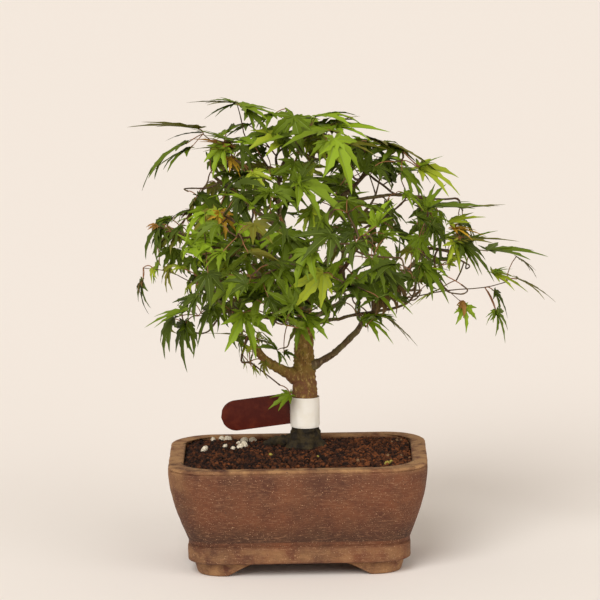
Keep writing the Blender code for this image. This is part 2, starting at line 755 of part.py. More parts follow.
def twig_chains(nodes, parents, ends):
    """Splits the tree into twigs: the path on from each fork keeps to its heavier side, and the lighter
    side starts a new twig there. A twig thickens with the number of leaves that it carries."""
    weight = np.zeros(len(nodes))
    for node in ends:
        while node >= 0:
            weight[node] += 1
            node = parents[node]
    children = {}
    for node, parent in enumerate(parents):
        if parent >= 0 and weight[node] > 0:
            children.setdefault(parent, []).append(node)
    chains = []
    starts = [(None, 0)]
    while starts:
        fork, node = starts.pop()
        chain = [node] if fork is None else [fork, node]
        while node in children:
            ordered = sorted(children[node], key=lambda child: -weight[child])
            starts += [(node, child) for child in ordered[1:]]
            node = ordered[0]
            chain.append(node)
        radii = [TWIG_RADIUS * max(weight[i], 1.0) ** TWIG_THICKENING for i in chain]
        if fork is not None:
            radii[0] = radii[1]
        chains.append((nodes[chain], radii))
    return chains


def sound(mesh):
    """True for a mesh that stays one closed surface when points nearer than a third of a micron merge."""
    shape = bmesh.new()
    shape.from_mesh(mesh)
    bmesh.ops.remove_doubles(shape, verts=shape.verts, dist=3e-7)
    bmesh.ops.dissolve_degenerate(shape, edges=shape.edges, dist=1e-7)
    closed = all(len(edge.link_faces) == 2 for edge in shape.edges)
    shape.free()
    return closed


def fused_mass(name, count, triangle):
    """Twigs and leaves of one mass, joined by one Boolean union into one mesh."""
    bough = MASSES[name][0]
    chance = np.random.default_rng(SEED + list(MASSES).index(name))
    length = SHOOT_LEAF_LENGTH if name.endswith("shoots") else LEAF_LENGTH
    tip, heading = along(bough, 1.0)
    sites = choose_sites(name, 2 * count, length, chance)
    nodes, parents, served = grow_twigs(name, tip + heading * CLEARANCE, heading, sites)
    leaves = place_leaves(name, nodes, sites, served, count, length, chance)
    chains = twig_chains(nodes, parents, [served[site] for site in leaves])
    chains[0][1][0] = min(chains[0][1][0], limbs[bough][1][-1])
    tubes = [tube("twig", path, radii, triangle) for path, radii in chains]
    bpy.context.view_layer.update()
    meshes = [as_mesh(curve) for curve in tubes]
    meshes += [leaf_mesh(points) for points in leaves.values()]
    pieces = new_collection("pieces")
    stem = put("stem", meshes[0], leaf_green, collection=workbench)
    for mesh in meshes[1:]:
        put("piece", mesh, leaf_green, collection=pieces)
    joined = combined(stem, "UNION", "MANIFOLD", collection=pieces)
    for piece in list(pieces.objects):
        bpy.data.objects.remove(piece, do_unlink=True)
    bpy.data.collections.remove(pieces)
    return joined


def build_mass(name, triangle):
    """One mass as a solid. Where its fused mesh touches itself, it is made again with one leaf fewer."""
    for count in range(MASSES[name][3], 0, -1):
        joined = fused_mass(name, count, triangle)
        if sound(joined):
            break
    put(name, joined, leaf_green)


def build_masses():
    """All the masses, with twigs of three sides: a triangle that every twig's curve is swept with."""
    outline = bpy.data.curves.new("triangle", "CURVE")
    spline = outline.splines.new("POLY")
    spline.points.add(2)
    for corner, point in enumerate(spline.points):
        angle = 2 * math.pi * corner / 3
        point.co = (math.cos(angle), math.sin(angle), 0.0, 1.0)
    spline.use_cyclic_u = True
    triangle = bpy.data.objects.new("triangle", outline)
    workbench.objects.link(triangle)
    for name in MASSES:
        build_mass(name, triangle)
    bpy.data.objects.remove(triangle, do_unlink=True)


def build_boughs():
    for name, (parent, share, leaving, arriving, tip, thick, thin) in BOUGHS.items():
        finish = bark if name == "bough_low_left" else green_bark
        build_bough(name, parent, share, leaving, arriving, tip, thick, thin, finish)


# Label: a strip of white paper wrapped round the trunk, and the brown card tongue that it holds
LABEL_THICK = 0.0006
LABEL_SLACK = 0.0008
LABEL_SIDES = 32
TONGUE_LENGTH = 0.054
TONGUE_HEIGHT = 0.0245
TONGUE_RISE = 0.0065
TONGUE_LIFT = 0.0025


def build_band(middle, outer):
    """An open cylinder whose wall thickens inwards."""
    shape = bmesh.new()
    bmesh.ops.create_cone(
        shape, cap_ends=False, segments=LABEL_SIDES, radius1=outer, radius2=outer, depth=LABEL_HEIGHT
    )
    mesh = bpy.data.meshes.new("label_band")
    shape.to_mesh(mesh)
    shape.free()
    band = put("label_band", mesh, white_paper, smooth_below=40)
    band.location = (middle[0], middle[1], LABEL_LOW + LABEL_HEIGHT / 2)
    wall = band.modifiers.new("paper", "SOLIDIFY")
    wall.thickness = LABEL_THICK
    wall.offset = -1.0


def build_tongue(middle, outer):
    """A flat outline with a round free end, stood upright and tilted so that its free end hangs lower."""
    outline = bpy.data.curves.new("label_tongue", "CURVE")
    outline.dimensions = "2D"
    outline.fill_mode = "BOTH"
    outline.extrude = LABEL_THICK / 2
    end = TONGUE_HEIGHT / 2
    angles = np.radians(np.linspace(90, 270, 9))
    points = [(0.0, 0.0), (0.0, TONGUE_HEIGHT)]
    points += [(end - TONGUE_LENGTH + end * math.cos(a), end + end * math.sin(a)) for a in angles]
    spline = outline.splines.new("POLY")
    spline.points.add(len(points) - 1)
    for place, (x, y) in zip(spline.points, points):
        place.co = (x, y, 0.0, 1.0)
    spline.use_cyclic_u = True
    tongue = put("label_tongue", outline, brown_card)
    tongue.location = (middle[0] - outer - CLEARANCE, middle[1], LABEL_LOW + TONGUE_LIFT)
    tongue.rotation_euler = (math.radians(90), -math.atan(TONGUE_RISE / TONGUE_LENGTH), 0.0)


def build_label():
    middle, _ = along("trunk", 0.2)
    outer = trunk_radius(LABEL_LOW) + LABEL_SLACK + LABEL_THICK
    build_band(middle, outer)
    build_tongue(middle, outer)


build_pot()
build_feet()
build_soil()
build_trunk()
build_boughs()
build_label()
build_masses()
bpy.data.collections.remove(workbench)
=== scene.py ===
"""The finished look of a small Japanese maple grown as a bonsai in an unglazed clay pot."""
import math

import bmesh
import bpy
import numpy as np
from mathutils import Matrix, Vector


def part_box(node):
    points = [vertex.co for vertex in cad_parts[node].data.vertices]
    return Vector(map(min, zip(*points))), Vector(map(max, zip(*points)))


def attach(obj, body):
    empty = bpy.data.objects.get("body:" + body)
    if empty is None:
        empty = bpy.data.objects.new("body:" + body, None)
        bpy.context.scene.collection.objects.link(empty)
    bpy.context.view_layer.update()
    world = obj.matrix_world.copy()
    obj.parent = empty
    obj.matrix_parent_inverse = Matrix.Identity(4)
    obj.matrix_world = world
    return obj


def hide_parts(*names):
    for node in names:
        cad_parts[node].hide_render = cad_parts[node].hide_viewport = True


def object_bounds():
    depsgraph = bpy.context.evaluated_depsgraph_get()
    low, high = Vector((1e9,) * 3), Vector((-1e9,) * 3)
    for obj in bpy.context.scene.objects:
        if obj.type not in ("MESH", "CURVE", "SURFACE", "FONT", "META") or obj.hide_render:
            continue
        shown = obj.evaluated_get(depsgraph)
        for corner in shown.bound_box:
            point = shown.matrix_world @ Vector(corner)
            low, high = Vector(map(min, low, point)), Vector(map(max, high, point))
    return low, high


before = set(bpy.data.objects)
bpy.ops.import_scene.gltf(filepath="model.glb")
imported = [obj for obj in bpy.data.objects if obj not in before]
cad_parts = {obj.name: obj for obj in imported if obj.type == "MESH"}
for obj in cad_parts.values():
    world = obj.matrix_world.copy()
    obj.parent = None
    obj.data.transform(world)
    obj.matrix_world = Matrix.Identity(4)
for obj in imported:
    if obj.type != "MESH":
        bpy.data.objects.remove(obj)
cad_low, cad_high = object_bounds()


# View: from a little above and a long way off, so that the pot's sides stay nearly parallel. The picture
# leans by one degree, as it does when a camera isn't quite level.
PICTURE_SIZE = 600
VIEW_WIDTH = 0.4704
VIEW_CENTRE = np.array((-0.0292, 0.0, 0.2089))
VIEW_DISTANCE = 3.78
VIEW_RISE = math.radians(9.71)
VIEW_SIDE = math.radians(-0.25)
VIEW_LEAN = math.radians(-1.01)
SENSOR_WIDTH = 36.0
DEPTH_AXIS = 1
HEIGHT_AXIS = 2
SHORTEST = 1e-12


def unit(vectors):
    """Each vector divided by its own length."""
    vectors = np.asarray(vectors, float)
    return vectors / np.maximum(np.linalg.norm(vectors, axis=-1, keepdims=True), SHORTEST)


view_back = np.array((
    -math.cos(VIEW_RISE) * math.sin(VIEW_SIDE),
    -math.cos(VIEW_RISE) * math.cos(VIEW_SIDE),
    math.sin(VIEW_RISE),
))
level_right = unit(np.cross(-view_back, (0.0, 0.0, 1.0)))
level_up = np.cross(view_back, level_right)
view_right = math.cos(VIEW_LEAN) * level_right + math.sin(VIEW_LEAN) * level_up
view_up = math.cos(VIEW_LEAN) * level_up - math.sin(VIEW_LEAN) * level_right
view_place = VIEW_CENTRE + VIEW_DISTANCE * view_back
pixels_per_slope = PICTURE_SIZE * VIEW_DISTANCE / VIEW_WIDTH

camera = bpy.data.cameras.new("camera")
camera.sensor_width = SENSOR_WIDTH
camera.lens = SENSOR_WIDTH * VIEW_DISTANCE / VIEW_WIDTH
camera.clip_start = 0.1
camera.clip_end = 100.0
camera_object = bpy.data.objects.new("camera", camera)
bpy.context.scene.collection.objects.link(camera_object)
turned = Matrix(np.stack([view_right, view_up, view_back], axis=1).tolist()).to_4x4()
camera_object.matrix_world = Matrix.Translation(view_place.tolist()) @ turned
bpy.context.scene.camera = camera_object


def in_picture(points):
    """Where points show in the picture: across and down in pixels."""
    away = points - view_place
    depth = -(away @ view_back)
    across = PICTURE_SIZE / 2 + pixels_per_slope * (away @ view_right) / depth
    down = PICTURE_SIZE / 2 - pixels_per_slope * (away @ view_up) / depth
    return np.stack([across, down], axis=-1)


def in_space(pixels, axis, distance):
    """Where lines of sight through pixels of the picture reach a distance along the depth or height axis."""
    slopes = (np.asarray(pixels, float) - PICTURE_SIZE / 2) / pixels_per_slope
    ways = slopes[..., :1] * view_right - slopes[..., 1:] * view_up - view_back
    return view_place + ways * ((distance - view_place[axis]) / ways[..., axis])[..., None]


# Studio: a pale cream floor that runs on far behind the plant, one broad soft light from the upper left, a
# weaker one from the right, and even light from all round.
FLOOR_REACH = 25.0
CREAM = (0.90, 0.80, 0.70, 1.0)
KEY_STRENGTH = 2.2
FILL_STRENGTH = 0.90
SKY_STRENGTH = 0.55
FLOOR_COLOUR = (0.895, 0.845, 0.795, 1.0)


def sun(name, strength, softness, height, side):
    """A distant soft light, at degrees above the horizon and turned by degrees to the camera's right."""
    light = bpy.data.lights.new(name, "SUN")
    light.energy = strength
    light.angle = math.radians(softness)
    holder = bpy.data.objects.new(name, light)
    holder.rotation_euler = (math.radians(90 - height), 0.0, math.radians(side))
    bpy.context.scene.collection.objects.link(holder)


sun("key_light", KEY_STRENGTH, softness=36, height=37, side=-22)
sun("fill_light", FILL_STRENGTH, softness=50, height=22, side=40)
world = bpy.data.worlds.new("studio")
world.use_nodes = True
sky = world.node_tree.nodes["Background"].inputs
sky["Color"].default_value = CREAM
sky["Strength"].default_value = SKY_STRENGTH
bpy.context.scene.world = world
bpy.context.scene.view_settings.view_transform = "Standard"

floor_mesh = bpy.data.meshes.new("floor")
floor_corners = [(side_x * FLOOR_REACH, side_y * FLOOR_REACH, 0.0)
                 for side_x, side_y in ((-1, -1), (1, -1), (1, 1), (-1, 1))]
floor_mesh.from_pydata(floor_corners, [], [(0, 1, 2, 3)])
floor = bpy.data.objects.new("floor", floor_mesh)
bpy.context.scene.collection.objects.link(floor)
paper = bpy.data.materials.new("floor_paper")
paper.use_nodes = True
paper_skin = paper.node_tree.nodes["Principled BSDF"].inputs
paper_skin["Base Color"].default_value = FLOOR_COLOUR
paper_skin["Roughness"].default_value = 0.95
paper_skin["Specular IOR Level"].default_value = 0.1
floor_mesh.materials.append(paper)


# Pot: one slab of coarse brown stoneware, pressed in a mould and fired without glaze. Its wall swells from a
# waist to a rounded lip, over a base band that stands out a little.
pot_low, pot_high = (np.array(corner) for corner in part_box("pot"))
POT_X = (pot_low[0] + pot_high[0]) / 2
HALF_WIDTH = (pot_high[0] - pot_low[0]) / 2
HALF_DEPTH = (pot_high[1] - pot_low[1]) / 2
FOOT_HEIGHT = pot_low[2]
POT_HEIGHT = pot_high[2]
POT_WALL = 0.012
POT_FLOOR = 0.010
POT_CORNER = 0.034
INNER_CORNER = 0.020
CORNER_SHRINK = 0.6
WAIST_INSET = 0.0145
UNDERSIDE_REACH = 0.03
BAND_HEIGHT = 0.0125
BAND_TOP = FOOT_HEIGHT + BAND_HEIGHT
BAND_INSET = WAIST_INSET - 0.0003
BAND_ROUNDING = 0.0012
BAND_MARGIN = 0.002
GROOVE_INSETS = WAIST_INSET + np.array((0.0015, 0.0009, 0.0004))
GROOVE_HEIGHTS = BAND_TOP + np.array((0.0004, 0.0012, 0.0026))
WAIST_HEIGHT = BAND_TOP + 0.0040
LIP_THICK = 0.0030
LIP_LOW = POT_HEIGHT - LIP_THICK
LIP_GROOVE = 0.0008
LIP_GROOVE_INSETS = LIP_GROOVE * np.array((1.1, 0.9))
LIP_GROOVE_HEIGHTS = LIP_LOW + np.array((-0.0002, 0.0003))
LIP_SHADOW = 0.0002
LIP_ROUNDING = 0.0020
LIP_FALL = 0.0004
LIP_FLAT = (0.0030, 0.0102)
INNER_ROUNDING = 0.0012
INNER_FALL = (0.0003, 0.0018)
INNER_START = 0.003
ARC_STEPS = 12
SIDE_STEPS = 60
WALL_ROWS = 46
BAND_ROWS = 5
ROUNDED_ROWS = 5
LIP_ROUNDED_ROWS = 8
LIP_ROWS = 6
INNER_ROWS = 16
CLAY_UNEVEN = 0.00022
MOULD_WAVE = 0.045
MOULD_DIMPLE = 0.009
DIMPLE_SHARE = 0.5
UNEVEN_INWARDS = 1.2


def ripples(points, wavelength, seed, waves=26):
    """Smooth unevenness of about -1 to 1: a sum of plane waves of random direction, length and phase."""
    chance = np.random.default_rng(seed)
    ways = unit(chance.normal(size=(waves, 3)))
    ways *= 2 * np.pi / wavelength * chance.uniform(0.6, 1.6, (waves, 1))
    phases = chance.uniform(0, 2 * np.pi, waves)
    return np.sin(points @ ways.T + phases).sum(axis=-1) / (1.4 * math.sqrt(waves / 2))


def wall_inset(height):
    """How far the outer wall lies inside the lip's outline: a quarter of a sine from waist to lip."""
    share = np.clip((height - WAIST_HEIGHT) / (LIP_LOW - WAIST_HEIGHT), 0.0, 1.0)
    return WAIST_INSET * (1.0 - np.sin(0.5 * np.pi * share))


def corner_size(height):
    """The outer corner's radius, which tightens as the wall narrows."""
    return POT_CORNER - CORNER_SHRINK * wall_inset(height)


def outlines(half_widths, half_depths, corners, heights):
    """Rows of points round the pot's middle, one for each size given: four arcs joined by straight sides."""
    half_widths, half_depths, corners, heights = np.broadcast_arrays(
        half_widths, half_depths, corners, heights
    )
    arcs = []
    for turn, (side_x, side_y) in enumerate(((1, 1), (-1, 1), (-1, -1), (1, -1))):
        angles = np.radians(90 * turn + np.linspace(0, 90, ARC_STEPS + 1))
        x = side_x * (half_widths - corners)[:, None] + corners[:, None] * np.cos(angles)
        y = side_y * (half_depths - corners)[:, None] + corners[:, None] * np.sin(angles)
        arcs.append(np.stack([x + POT_X, y, np.repeat(heights[:, None], len(angles), axis=1)], axis=-1))
    shares = np.linspace(0, 1, SIDE_STEPS + 1)[1:-1, None]
    parts = []
    for arc, following in zip(arcs, arcs[1:] + arcs[:1]):
        parts += [arc, arc[:, -1:] * (1 - shares) + following[:, :1] * shares]
    return np.concatenate(parts, axis=1)


def band_faces(rows, columns):
    """Quads between rows of points that each close on themselves, wound to face outwards."""
    row = np.arange(rows - 1)[:, None] * columns
    here = np.arange(columns)
    after = (here + 1) % columns
    quads = np.stack([row + here, row + after, row + columns + after, row + columns + here], axis=-1)
    return quads.reshape(-1, 4)


def add_piece(name, points, faces, finish, smooth=True):
    """A mesh object at the origin that rides with the plant and its pot."""
    mesh = bpy.data.meshes.new(name)
    mesh.from_pydata(np.asarray(points).reshape(-1, 3).tolist(), [], faces)
    if smooth:
        mesh.shade_smooth()
    mesh.materials.append(finish)
    piece = bpy.data.objects.new(name, mesh)
    bpy.context.scene.collection.objects.link(piece)
    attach(piece, "root")
    return piece


def wrapped(name, grid, finish, smooth=True):
    """A closed body from rows of points: bands between them and a cap on the first and the last."""
    rows, columns, _ = grid.shape
    faces = band_faces(rows, columns).tolist()
    faces.append(list(range(columns))[::-1])
    faces.append([(rows - 1) * columns + column for column in range(columns)])
    return add_piece(name, grid, faces, finish, smooth)


def set_values(piece, name, values):
    """Stores a number at each point of a piece, for its material to read."""
    piece.data.attributes.new(name, "FLOAT", "POINT").data.foreach_set("value", values.ravel())


def new_finish(name, roughness, colour=(0.5, 0.5, 0.5)):
    """A material with one Principled shader, its node tree, its shader and its Object coordinates."""
    finish = bpy.data.materials.new(name)
    finish.use_nodes = True
    tree = finish.node_tree
    shader = tree.nodes["Principled BSDF"]
    shader.inputs["Roughness"].default_value = roughness
    shader.inputs["Base Color"].default_value = (*colour, 1.0)
    place = tree.nodes.new("ShaderNodeTexCoord").outputs["Object"]
    return finish, tree, shader, place


def stored(tree, name):
    """The number that a piece stores at each point under a name."""
    attribute = tree.nodes.new("ShaderNodeAttribute")
    attribute.attribute_name = name
    return attribute.outputs["Fac"]


def stretched(tree, place, scale):
    """Coordinates multiplied along each axis."""
    mapping = tree.nodes.new("ShaderNodeMapping")
    mapping.inputs["Scale"].default_value = scale
    tree.links.new(place, mapping.inputs["Vector"])
    return mapping.outputs["Vector"]


def cloudy(tree, place, scale, detail=4.0, roughness=0.6):
    """Soft noise between 0 and 1."""
    noise = tree.nodes.new("ShaderNodeTexNoise")
    noise.inputs["Scale"].default_value = scale
    noise.inputs["Detail"].default_value = detail
    noise.inputs["Roughness"].default_value = roughness
    tree.links.new(place, noise.inputs["Vector"])
    return noise.outputs["Fac"]


def steps(tree, value, low, high):
    """A value spread so that low becomes 0 and high becomes 1."""
    spread = tree.nodes.new("ShaderNodeMapRange")
    spread.inputs["From Min"].default_value = low
    spread.inputs["From Max"].default_value = high
    tree.links.new(value, spread.inputs["Value"])
    return spread.outputs["Result"]


def product(tree, first, second):
    """Two values multiplied; the second may be a number."""
    times = tree.nodes.new("ShaderNodeMath")
    times.operation = "MULTIPLY"
    tree.links.new(first, times.inputs[0])
    if isinstance(second, float):
        times.inputs[1].default_value = second
    else:
        tree.links.new(second, times.inputs[1])
    return times.outputs["Value"]


def blended(tree, factor, first, second):
    """One colour passing into another as the factor rises; either may be a socket or a plain colour."""
    mix = tree.nodes.new("ShaderNodeMix")
    mix.data_type = "RGBA"
    tree.links.new(factor, mix.inputs["Factor"])
    for socket, colour in ((mix.inputs[6], first), (mix.inputs[7], second)):
        if isinstance(colour, tuple):
            socket.default_value = (*colour, 1.0)
        else:
            tree.links.new(colour, socket)
    return mix.outputs[2]


def overlaid(tree, value, low, high, base, colour):
    """A base that passes into a colour where a value goes from low to high."""
    return blended(tree, steps(tree, value, low, high), base, colour)


def roughen(tree, shader, heights, strength, distance):
    """Bumps on the shader from a height value."""
    bump = tree.nodes.new("ShaderNodeBump")
    bump.inputs["Strength"].default_value = strength
    bump.inputs["Distance"].default_value = distance
    tree.links.new(heights, bump.inputs["Height"])
    tree.links.new(bump.outputs["Normal"], shader.inputs["Normal"])


CLAY_DARK = (0.068, 0.018, 0.006)
CLAY_RED = (0.150, 0.043, 0.013)
# Painted shade for the waist under the wall's swell
WAIST_PAINTED_SHADE_COLOUR = (0.036, 0.010, 0.003)
CLAY_SCRATCH = (0.25, 0.115, 0.055)
CLAY_TAN = (0.36, 0.190, 0.075)
CLAY_GRIT = (0.52, 0.31, 0.17)
CLAY_PIT = (0.035, 0.014, 0.009)
SCRATCH_STRETCH = (170.0, 170.0, 1150.0)
BLACK = (0.0, 0.0, 0.0)
WHITE = (1.0, 1.0, 1.0)


def clay_finish():
    """Red-brown clay with painted shade in the waist, tan worn edges and tan painted light on the left end
    and the rim's right end, short level scratches and fine pale grit.
    """
    finish, tree, shader, place = new_finish("stoneware_clay", 0.82)
    clouds = cloudy(tree, place, 30.0, detail=7.0, roughness=0.7)
    scratches = cloudy(tree, stretched(tree, place, SCRATCH_STRETCH), 1.0, detail=5.0, roughness=0.7)
    patches = cloudy(tree, place, 75.0, detail=6.0)
    grit = cloudy(tree, place, 1250.0, detail=1.0)
    pits = cloudy(tree, place, 700.0, detail=2.0)
    colour = overlaid(tree, clouds, 0.36, 0.66, CLAY_DARK, CLAY_RED)
    # Painted shade: the wall under its swell is darkened just above the band
    colour = blended(tree, stored(tree, "painted_waist_shade"), colour, WAIST_PAINTED_SHADE_COLOUR)
    colour = overlaid(tree, scratches, 0.52, 0.72, colour, CLAY_SCRATCH)
    # Tan patches: real wear on the lip, band and feet, and painted light on the upper left end and the rim's
    # right end
    tan_wear_and_painted_light = product(tree, steps(tree, patches, 0.34, 0.60), stored(tree, "wear_and_painted_light"))
    colour = blended(tree, tan_wear_and_painted_light, colour, CLAY_TAN)
    colour = overlaid(tree, grit, 0.68, 0.74, colour, CLAY_GRIT)
    colour = overlaid(tree, pits, 0.34, 0.26, colour, CLAY_PIT)
    tree.links.new(colour, shader.inputs["Base Color"])
    relief = overlaid(tree, scratches, 0.3, 0.8, BLACK, WHITE)
    relief = overlaid(tree, pits, 0.45, 0.25, relief, BLACK)
    roughen(tree, shader, relief, 0.55, 0.0006)
    return finish


clay = clay_finish()


def turned_corner(insets, heights, count, bulge):
    """Insets and heights along a quarter round; bulge 1 rounds outwards and 0 rounds inwards."""
    angles = np.linspace(0, np.pi / 2, count)
    shares = (1 - np.cos(angles), np.sin(angles)) if bulge else (np.sin(angles), 1 - np.cos(angles))
    return [start + (end - start) * share for (start, end), share in zip((insets, heights), shares)]


def pot_profile():
    """Insets from the lip's outline and heights, from the underside up the outside and down the inside."""
    band_round = (BAND_INSET + BAND_ROUNDING, BAND_INSET)
    band = np.linspace(FOOT_HEIGHT + BAND_MARGIN, BAND_TOP - BAND_MARGIN, BAND_ROWS)
    wall = np.linspace(WAIST_HEIGHT, LIP_LOW - LIP_GROOVE, WALL_ROWS)
    lip_round = (LIP_SHADOW, LIP_ROUNDING), (LIP_LOW + LIP_GROOVE, POT_HEIGHT - 0.0001)
    lip = np.linspace(*LIP_FLAT, LIP_ROWS)
    from_middle = (lip - POT_WALL / 2) / (POT_WALL / 2)
    inner_round = (POT_WALL - INNER_ROUNDING, POT_WALL), [POT_HEIGHT - fall for fall in INNER_FALL]
    inside = np.linspace(POT_HEIGHT - INNER_START, FOOT_HEIGHT + POT_FLOOR, INNER_ROWS)
    pieces = [
        (WAIST_INSET + np.array((UNDERSIDE_REACH, BAND_ROUNDING + BAND_MARGIN)), np.full(2, FOOT_HEIGHT)),
        turned_corner(band_round, (FOOT_HEIGHT, FOOT_HEIGHT + BAND_ROUNDING), ROUNDED_ROWS, 0),
        (np.full(BAND_ROWS, BAND_INSET), band),
        turned_corner(band_round[::-1], (BAND_TOP - BAND_ROUNDING, BAND_TOP), ROUNDED_ROWS, 1),
        (GROOVE_INSETS, GROOVE_HEIGHTS),
        (wall_inset(wall), wall),
        (LIP_GROOVE_INSETS, LIP_GROOVE_HEIGHTS),
        turned_corner(*lip_round, LIP_ROUNDED_ROWS, 1),
        (lip, POT_HEIGHT - LIP_FALL * from_middle**2),
        turned_corner(*inner_round, ROUNDED_ROWS, 0),
        (wall_inset(inside) + POT_WALL, inside),
    ]
    return [np.concatenate(part) for part in zip(*pieces)]


# Wear, painted light and painted shade: how strong each is on each part of the pot, where it starts and over
# how far it fades in
WALL_WEAR = 0.06
LIP_WEAR = 1.05
LIP_WEAR_FADE = 0.0027
HANDLING = (0.90, 0.16)
HANDLING_WAVE = 0.05
BAND_WEAR = 0.42
BAND_WEAR_FADE = 0.006
# Painted light: the upper left end, where the key light falls, painted tan in patches like the wear
LEFT_PAINTED_LIGHT = 0.55
LEFT_PAINTED_LIGHT_START = 0.082
LEFT_PAINTED_LIGHT_FADE = 0.018
LEFT_PAINTED_LIGHT_HEIGHT = 0.045
LEFT_PAINTED_LIGHT_RISE = 0.03
RIM_END = 0.086
RIM_END_FADE = 0.010
# The rim's ends are worn tan; the right end gets more as painted light, where the key light is weaker
RIM_RIGHT_WEAR_AND_PAINTED_LIGHT = 0.9
RIM_LEFT_WEAR = 0.35
# Painted shade in the waist under the wall's swell: its depth and how fast it fades upwards
WAIST_PAINTED_SHADE = 0.85
WAIST_PAINTED_SHADE_RISE = 0.013


def past(distances, start, fade):
    """A value that rises from 0 at the start to 1 once the fade is passed."""
    return np.clip((distances - start) / fade, 0, 1)


def make_pot():
    """The profile carried round the outline, with the wall's slight unevenness from the mould. Its lip, its
    band and the rim's ends are worn; the upper left end is painted tan as painted light, the rim's right end
    is painted lighter still, and the painted shade in the waist falls off as a bell curve."""
    insets, heights = pot_profile()
    topmost = int(np.argmax(heights))
    inner = np.arange(len(heights)) > topmost + 3
    corners = np.where(inner, INNER_CORNER, corner_size(heights))
    grid = outlines(HALF_WIDTH - insets, HALF_DEPTH - insets, corners, heights)
    outward = unit((grid - np.array((POT_X, 0.0, 0.0))) * (1.0, 1.0, 0.0))
    uneven = ripples(grid, MOULD_WAVE, 1) + DIMPLE_SHARE * ripples(grid, MOULD_DIMPLE, 2)
    shift = CLAY_UNEVEN * (uneven - UNEVEN_INWARDS)
    grid = grid + outward * np.where(inner[:, None], 0.0, shift)[..., None]
    pot = wrapped("pot_wall", grid, clay)
    right = grid[..., 0] - POT_X
    near_lip = np.exp(-((np.abs(heights - POT_HEIGHT) / LIP_WEAR_FADE) ** 1.5))[:, None]
    on_band = np.exp(-(((heights - FOOT_HEIGHT - BAND_HEIGHT / 2) / BAND_WEAR_FADE) ** 4))[:, None]
    handled = HANDLING[0] + HANDLING[1] * ripples(grid, HANDLING_WAVE, 3)
    high_up = past(heights, LEFT_PAINTED_LIGHT_HEIGHT, LEFT_PAINTED_LIGHT_RISE)[:, None]
    # Painted light on the upper left end, laid on as tan patches
    painted_light_left = past(-right, LEFT_PAINTED_LIGHT_START, LEFT_PAINTED_LIGHT_FADE) * high_up
    # Wear on the wall, lip and band, plus painted light on the upper left end
    wear_and_painted_light = WALL_WEAR + LIP_WEAR * near_lip * handled + BAND_WEAR * on_band + LEFT_PAINTED_LIGHT * painted_light_left
    # The rim's ends: wear, with more on the right end as painted light
    rim_right_wear_and_painted_light = RIM_RIGHT_WEAR_AND_PAINTED_LIGHT * past(right, RIM_END, RIM_END_FADE)
    rim_left = RIM_LEFT_WEAR * past(-right, RIM_END, RIM_END_FADE)
    set_values(pot, "wear_and_painted_light", np.clip(wear_and_painted_light, 0, 1) + near_lip * (rim_right_wear_and_painted_light + rim_left))
    # Painted shade just above the band, falling off upwards as a bell curve
    above_band = (heights - WAIST_HEIGHT) / WAIST_PAINTED_SHADE_RISE
    painted_waist_shade = np.where(above_band > 0, WAIST_PAINTED_SHADE * np.exp(-(above_band**2)), 0.0)
    set_values(pot, "painted_waist_shade", np.repeat(painted_waist_shade, grid.shape[1]))
    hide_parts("pot")


make_pot()


# Feet: four pads of the same clay, each wrapped round a corner under the base band. Their ends are cut to a
# cloud shape, so the pot seems to float between them.
FOOT_THICK = 0.013
FOOT_INSET = 0.0045
FOOT_TAPER = 0.003
FOOT_REACH = 0.0226
FOOT_CORNER = 0.0208
CLOUD_SPREAD = 0.0262
EVEN_SPREAD = 0.85
LATE_SPREAD = 0.15
LATE_POWER = 6
SIDE_SPREAD = 0.5
FOOT_ROUNDING = 0.0014
ROUNDED_SHARES = (0.0, 0.03, 0.08)
UPRIGHT_SHARE = 0.14
FOOT_ROWS = 22
STRAIGHT_STEPS = 8
FOOT_EDGE = math.radians(35)
FOOT_WEAR = 0.75


def foot_grid(side_x, side_y):
    """The foot's outline at each height: an L round the corner that lengthens towards the top, evenly at
    first and faster just under the band. Its lowest edge is rounded under."""
    shares = np.concatenate([ROUNDED_SHARES, np.linspace(UPRIGHT_SHARE, 1.0, FOOT_ROWS)])[:, None]
    heights = shares * FOOT_HEIGHT
    under = FOOT_ROUNDING * (1 - np.sqrt(np.clip(1 - (1 - heights / FOOT_ROUNDING).clip(0) ** 2, 0, 1)))
    spread = CLOUD_SPREAD * (EVEN_SPREAD * shares + LATE_SPREAD * shares**LATE_POWER)
    inset = WAIST_INSET + FOOT_INSET + FOOT_TAPER * (1 - shares) + under
    half_width, half_depth = HALF_WIDTH - inset, HALF_DEPTH - inset
    front_end = half_width - FOOT_REACH - spread + under
    side_end = half_depth - FOOT_REACH - SIDE_SPREAD * spread + under
    angles = np.linspace(np.pi / 2, 0, ARC_STEPS + 1)
    arc_x = half_width - FOOT_CORNER + FOOT_CORNER * np.cos(angles)
    arc_y = half_depth - FOOT_CORNER + FOOT_CORNER * np.sin(angles)
    along = np.linspace(0, 1, STRAIGHT_STEPS, endpoint=False)
    front_x = front_end * (1 - along) + arc_x[:, :1] * along
    front_y = np.repeat(half_depth, STRAIGHT_STEPS, axis=1)
    flank_x = np.repeat(half_width, STRAIGHT_STEPS, axis=1)
    flank_y = arc_y[:, -1:] * (1 - along) + side_end * along
    inner_x, inner_y = half_width - FOOT_THICK + under, half_depth - FOOT_THICK + under
    x = np.concatenate([front_x, arc_x, flank_x, half_width, inner_x, inner_x, front_end], axis=1)
    y = np.concatenate([front_y, arc_y, flank_y, side_end, side_end, inner_y, inner_y], axis=1)
    grid = np.stack([side_x * x + POT_X, side_y * y, np.repeat(heights, x.shape[1], axis=1)], axis=-1)
    return grid if side_x * side_y < 0 else grid[:, ::-1]


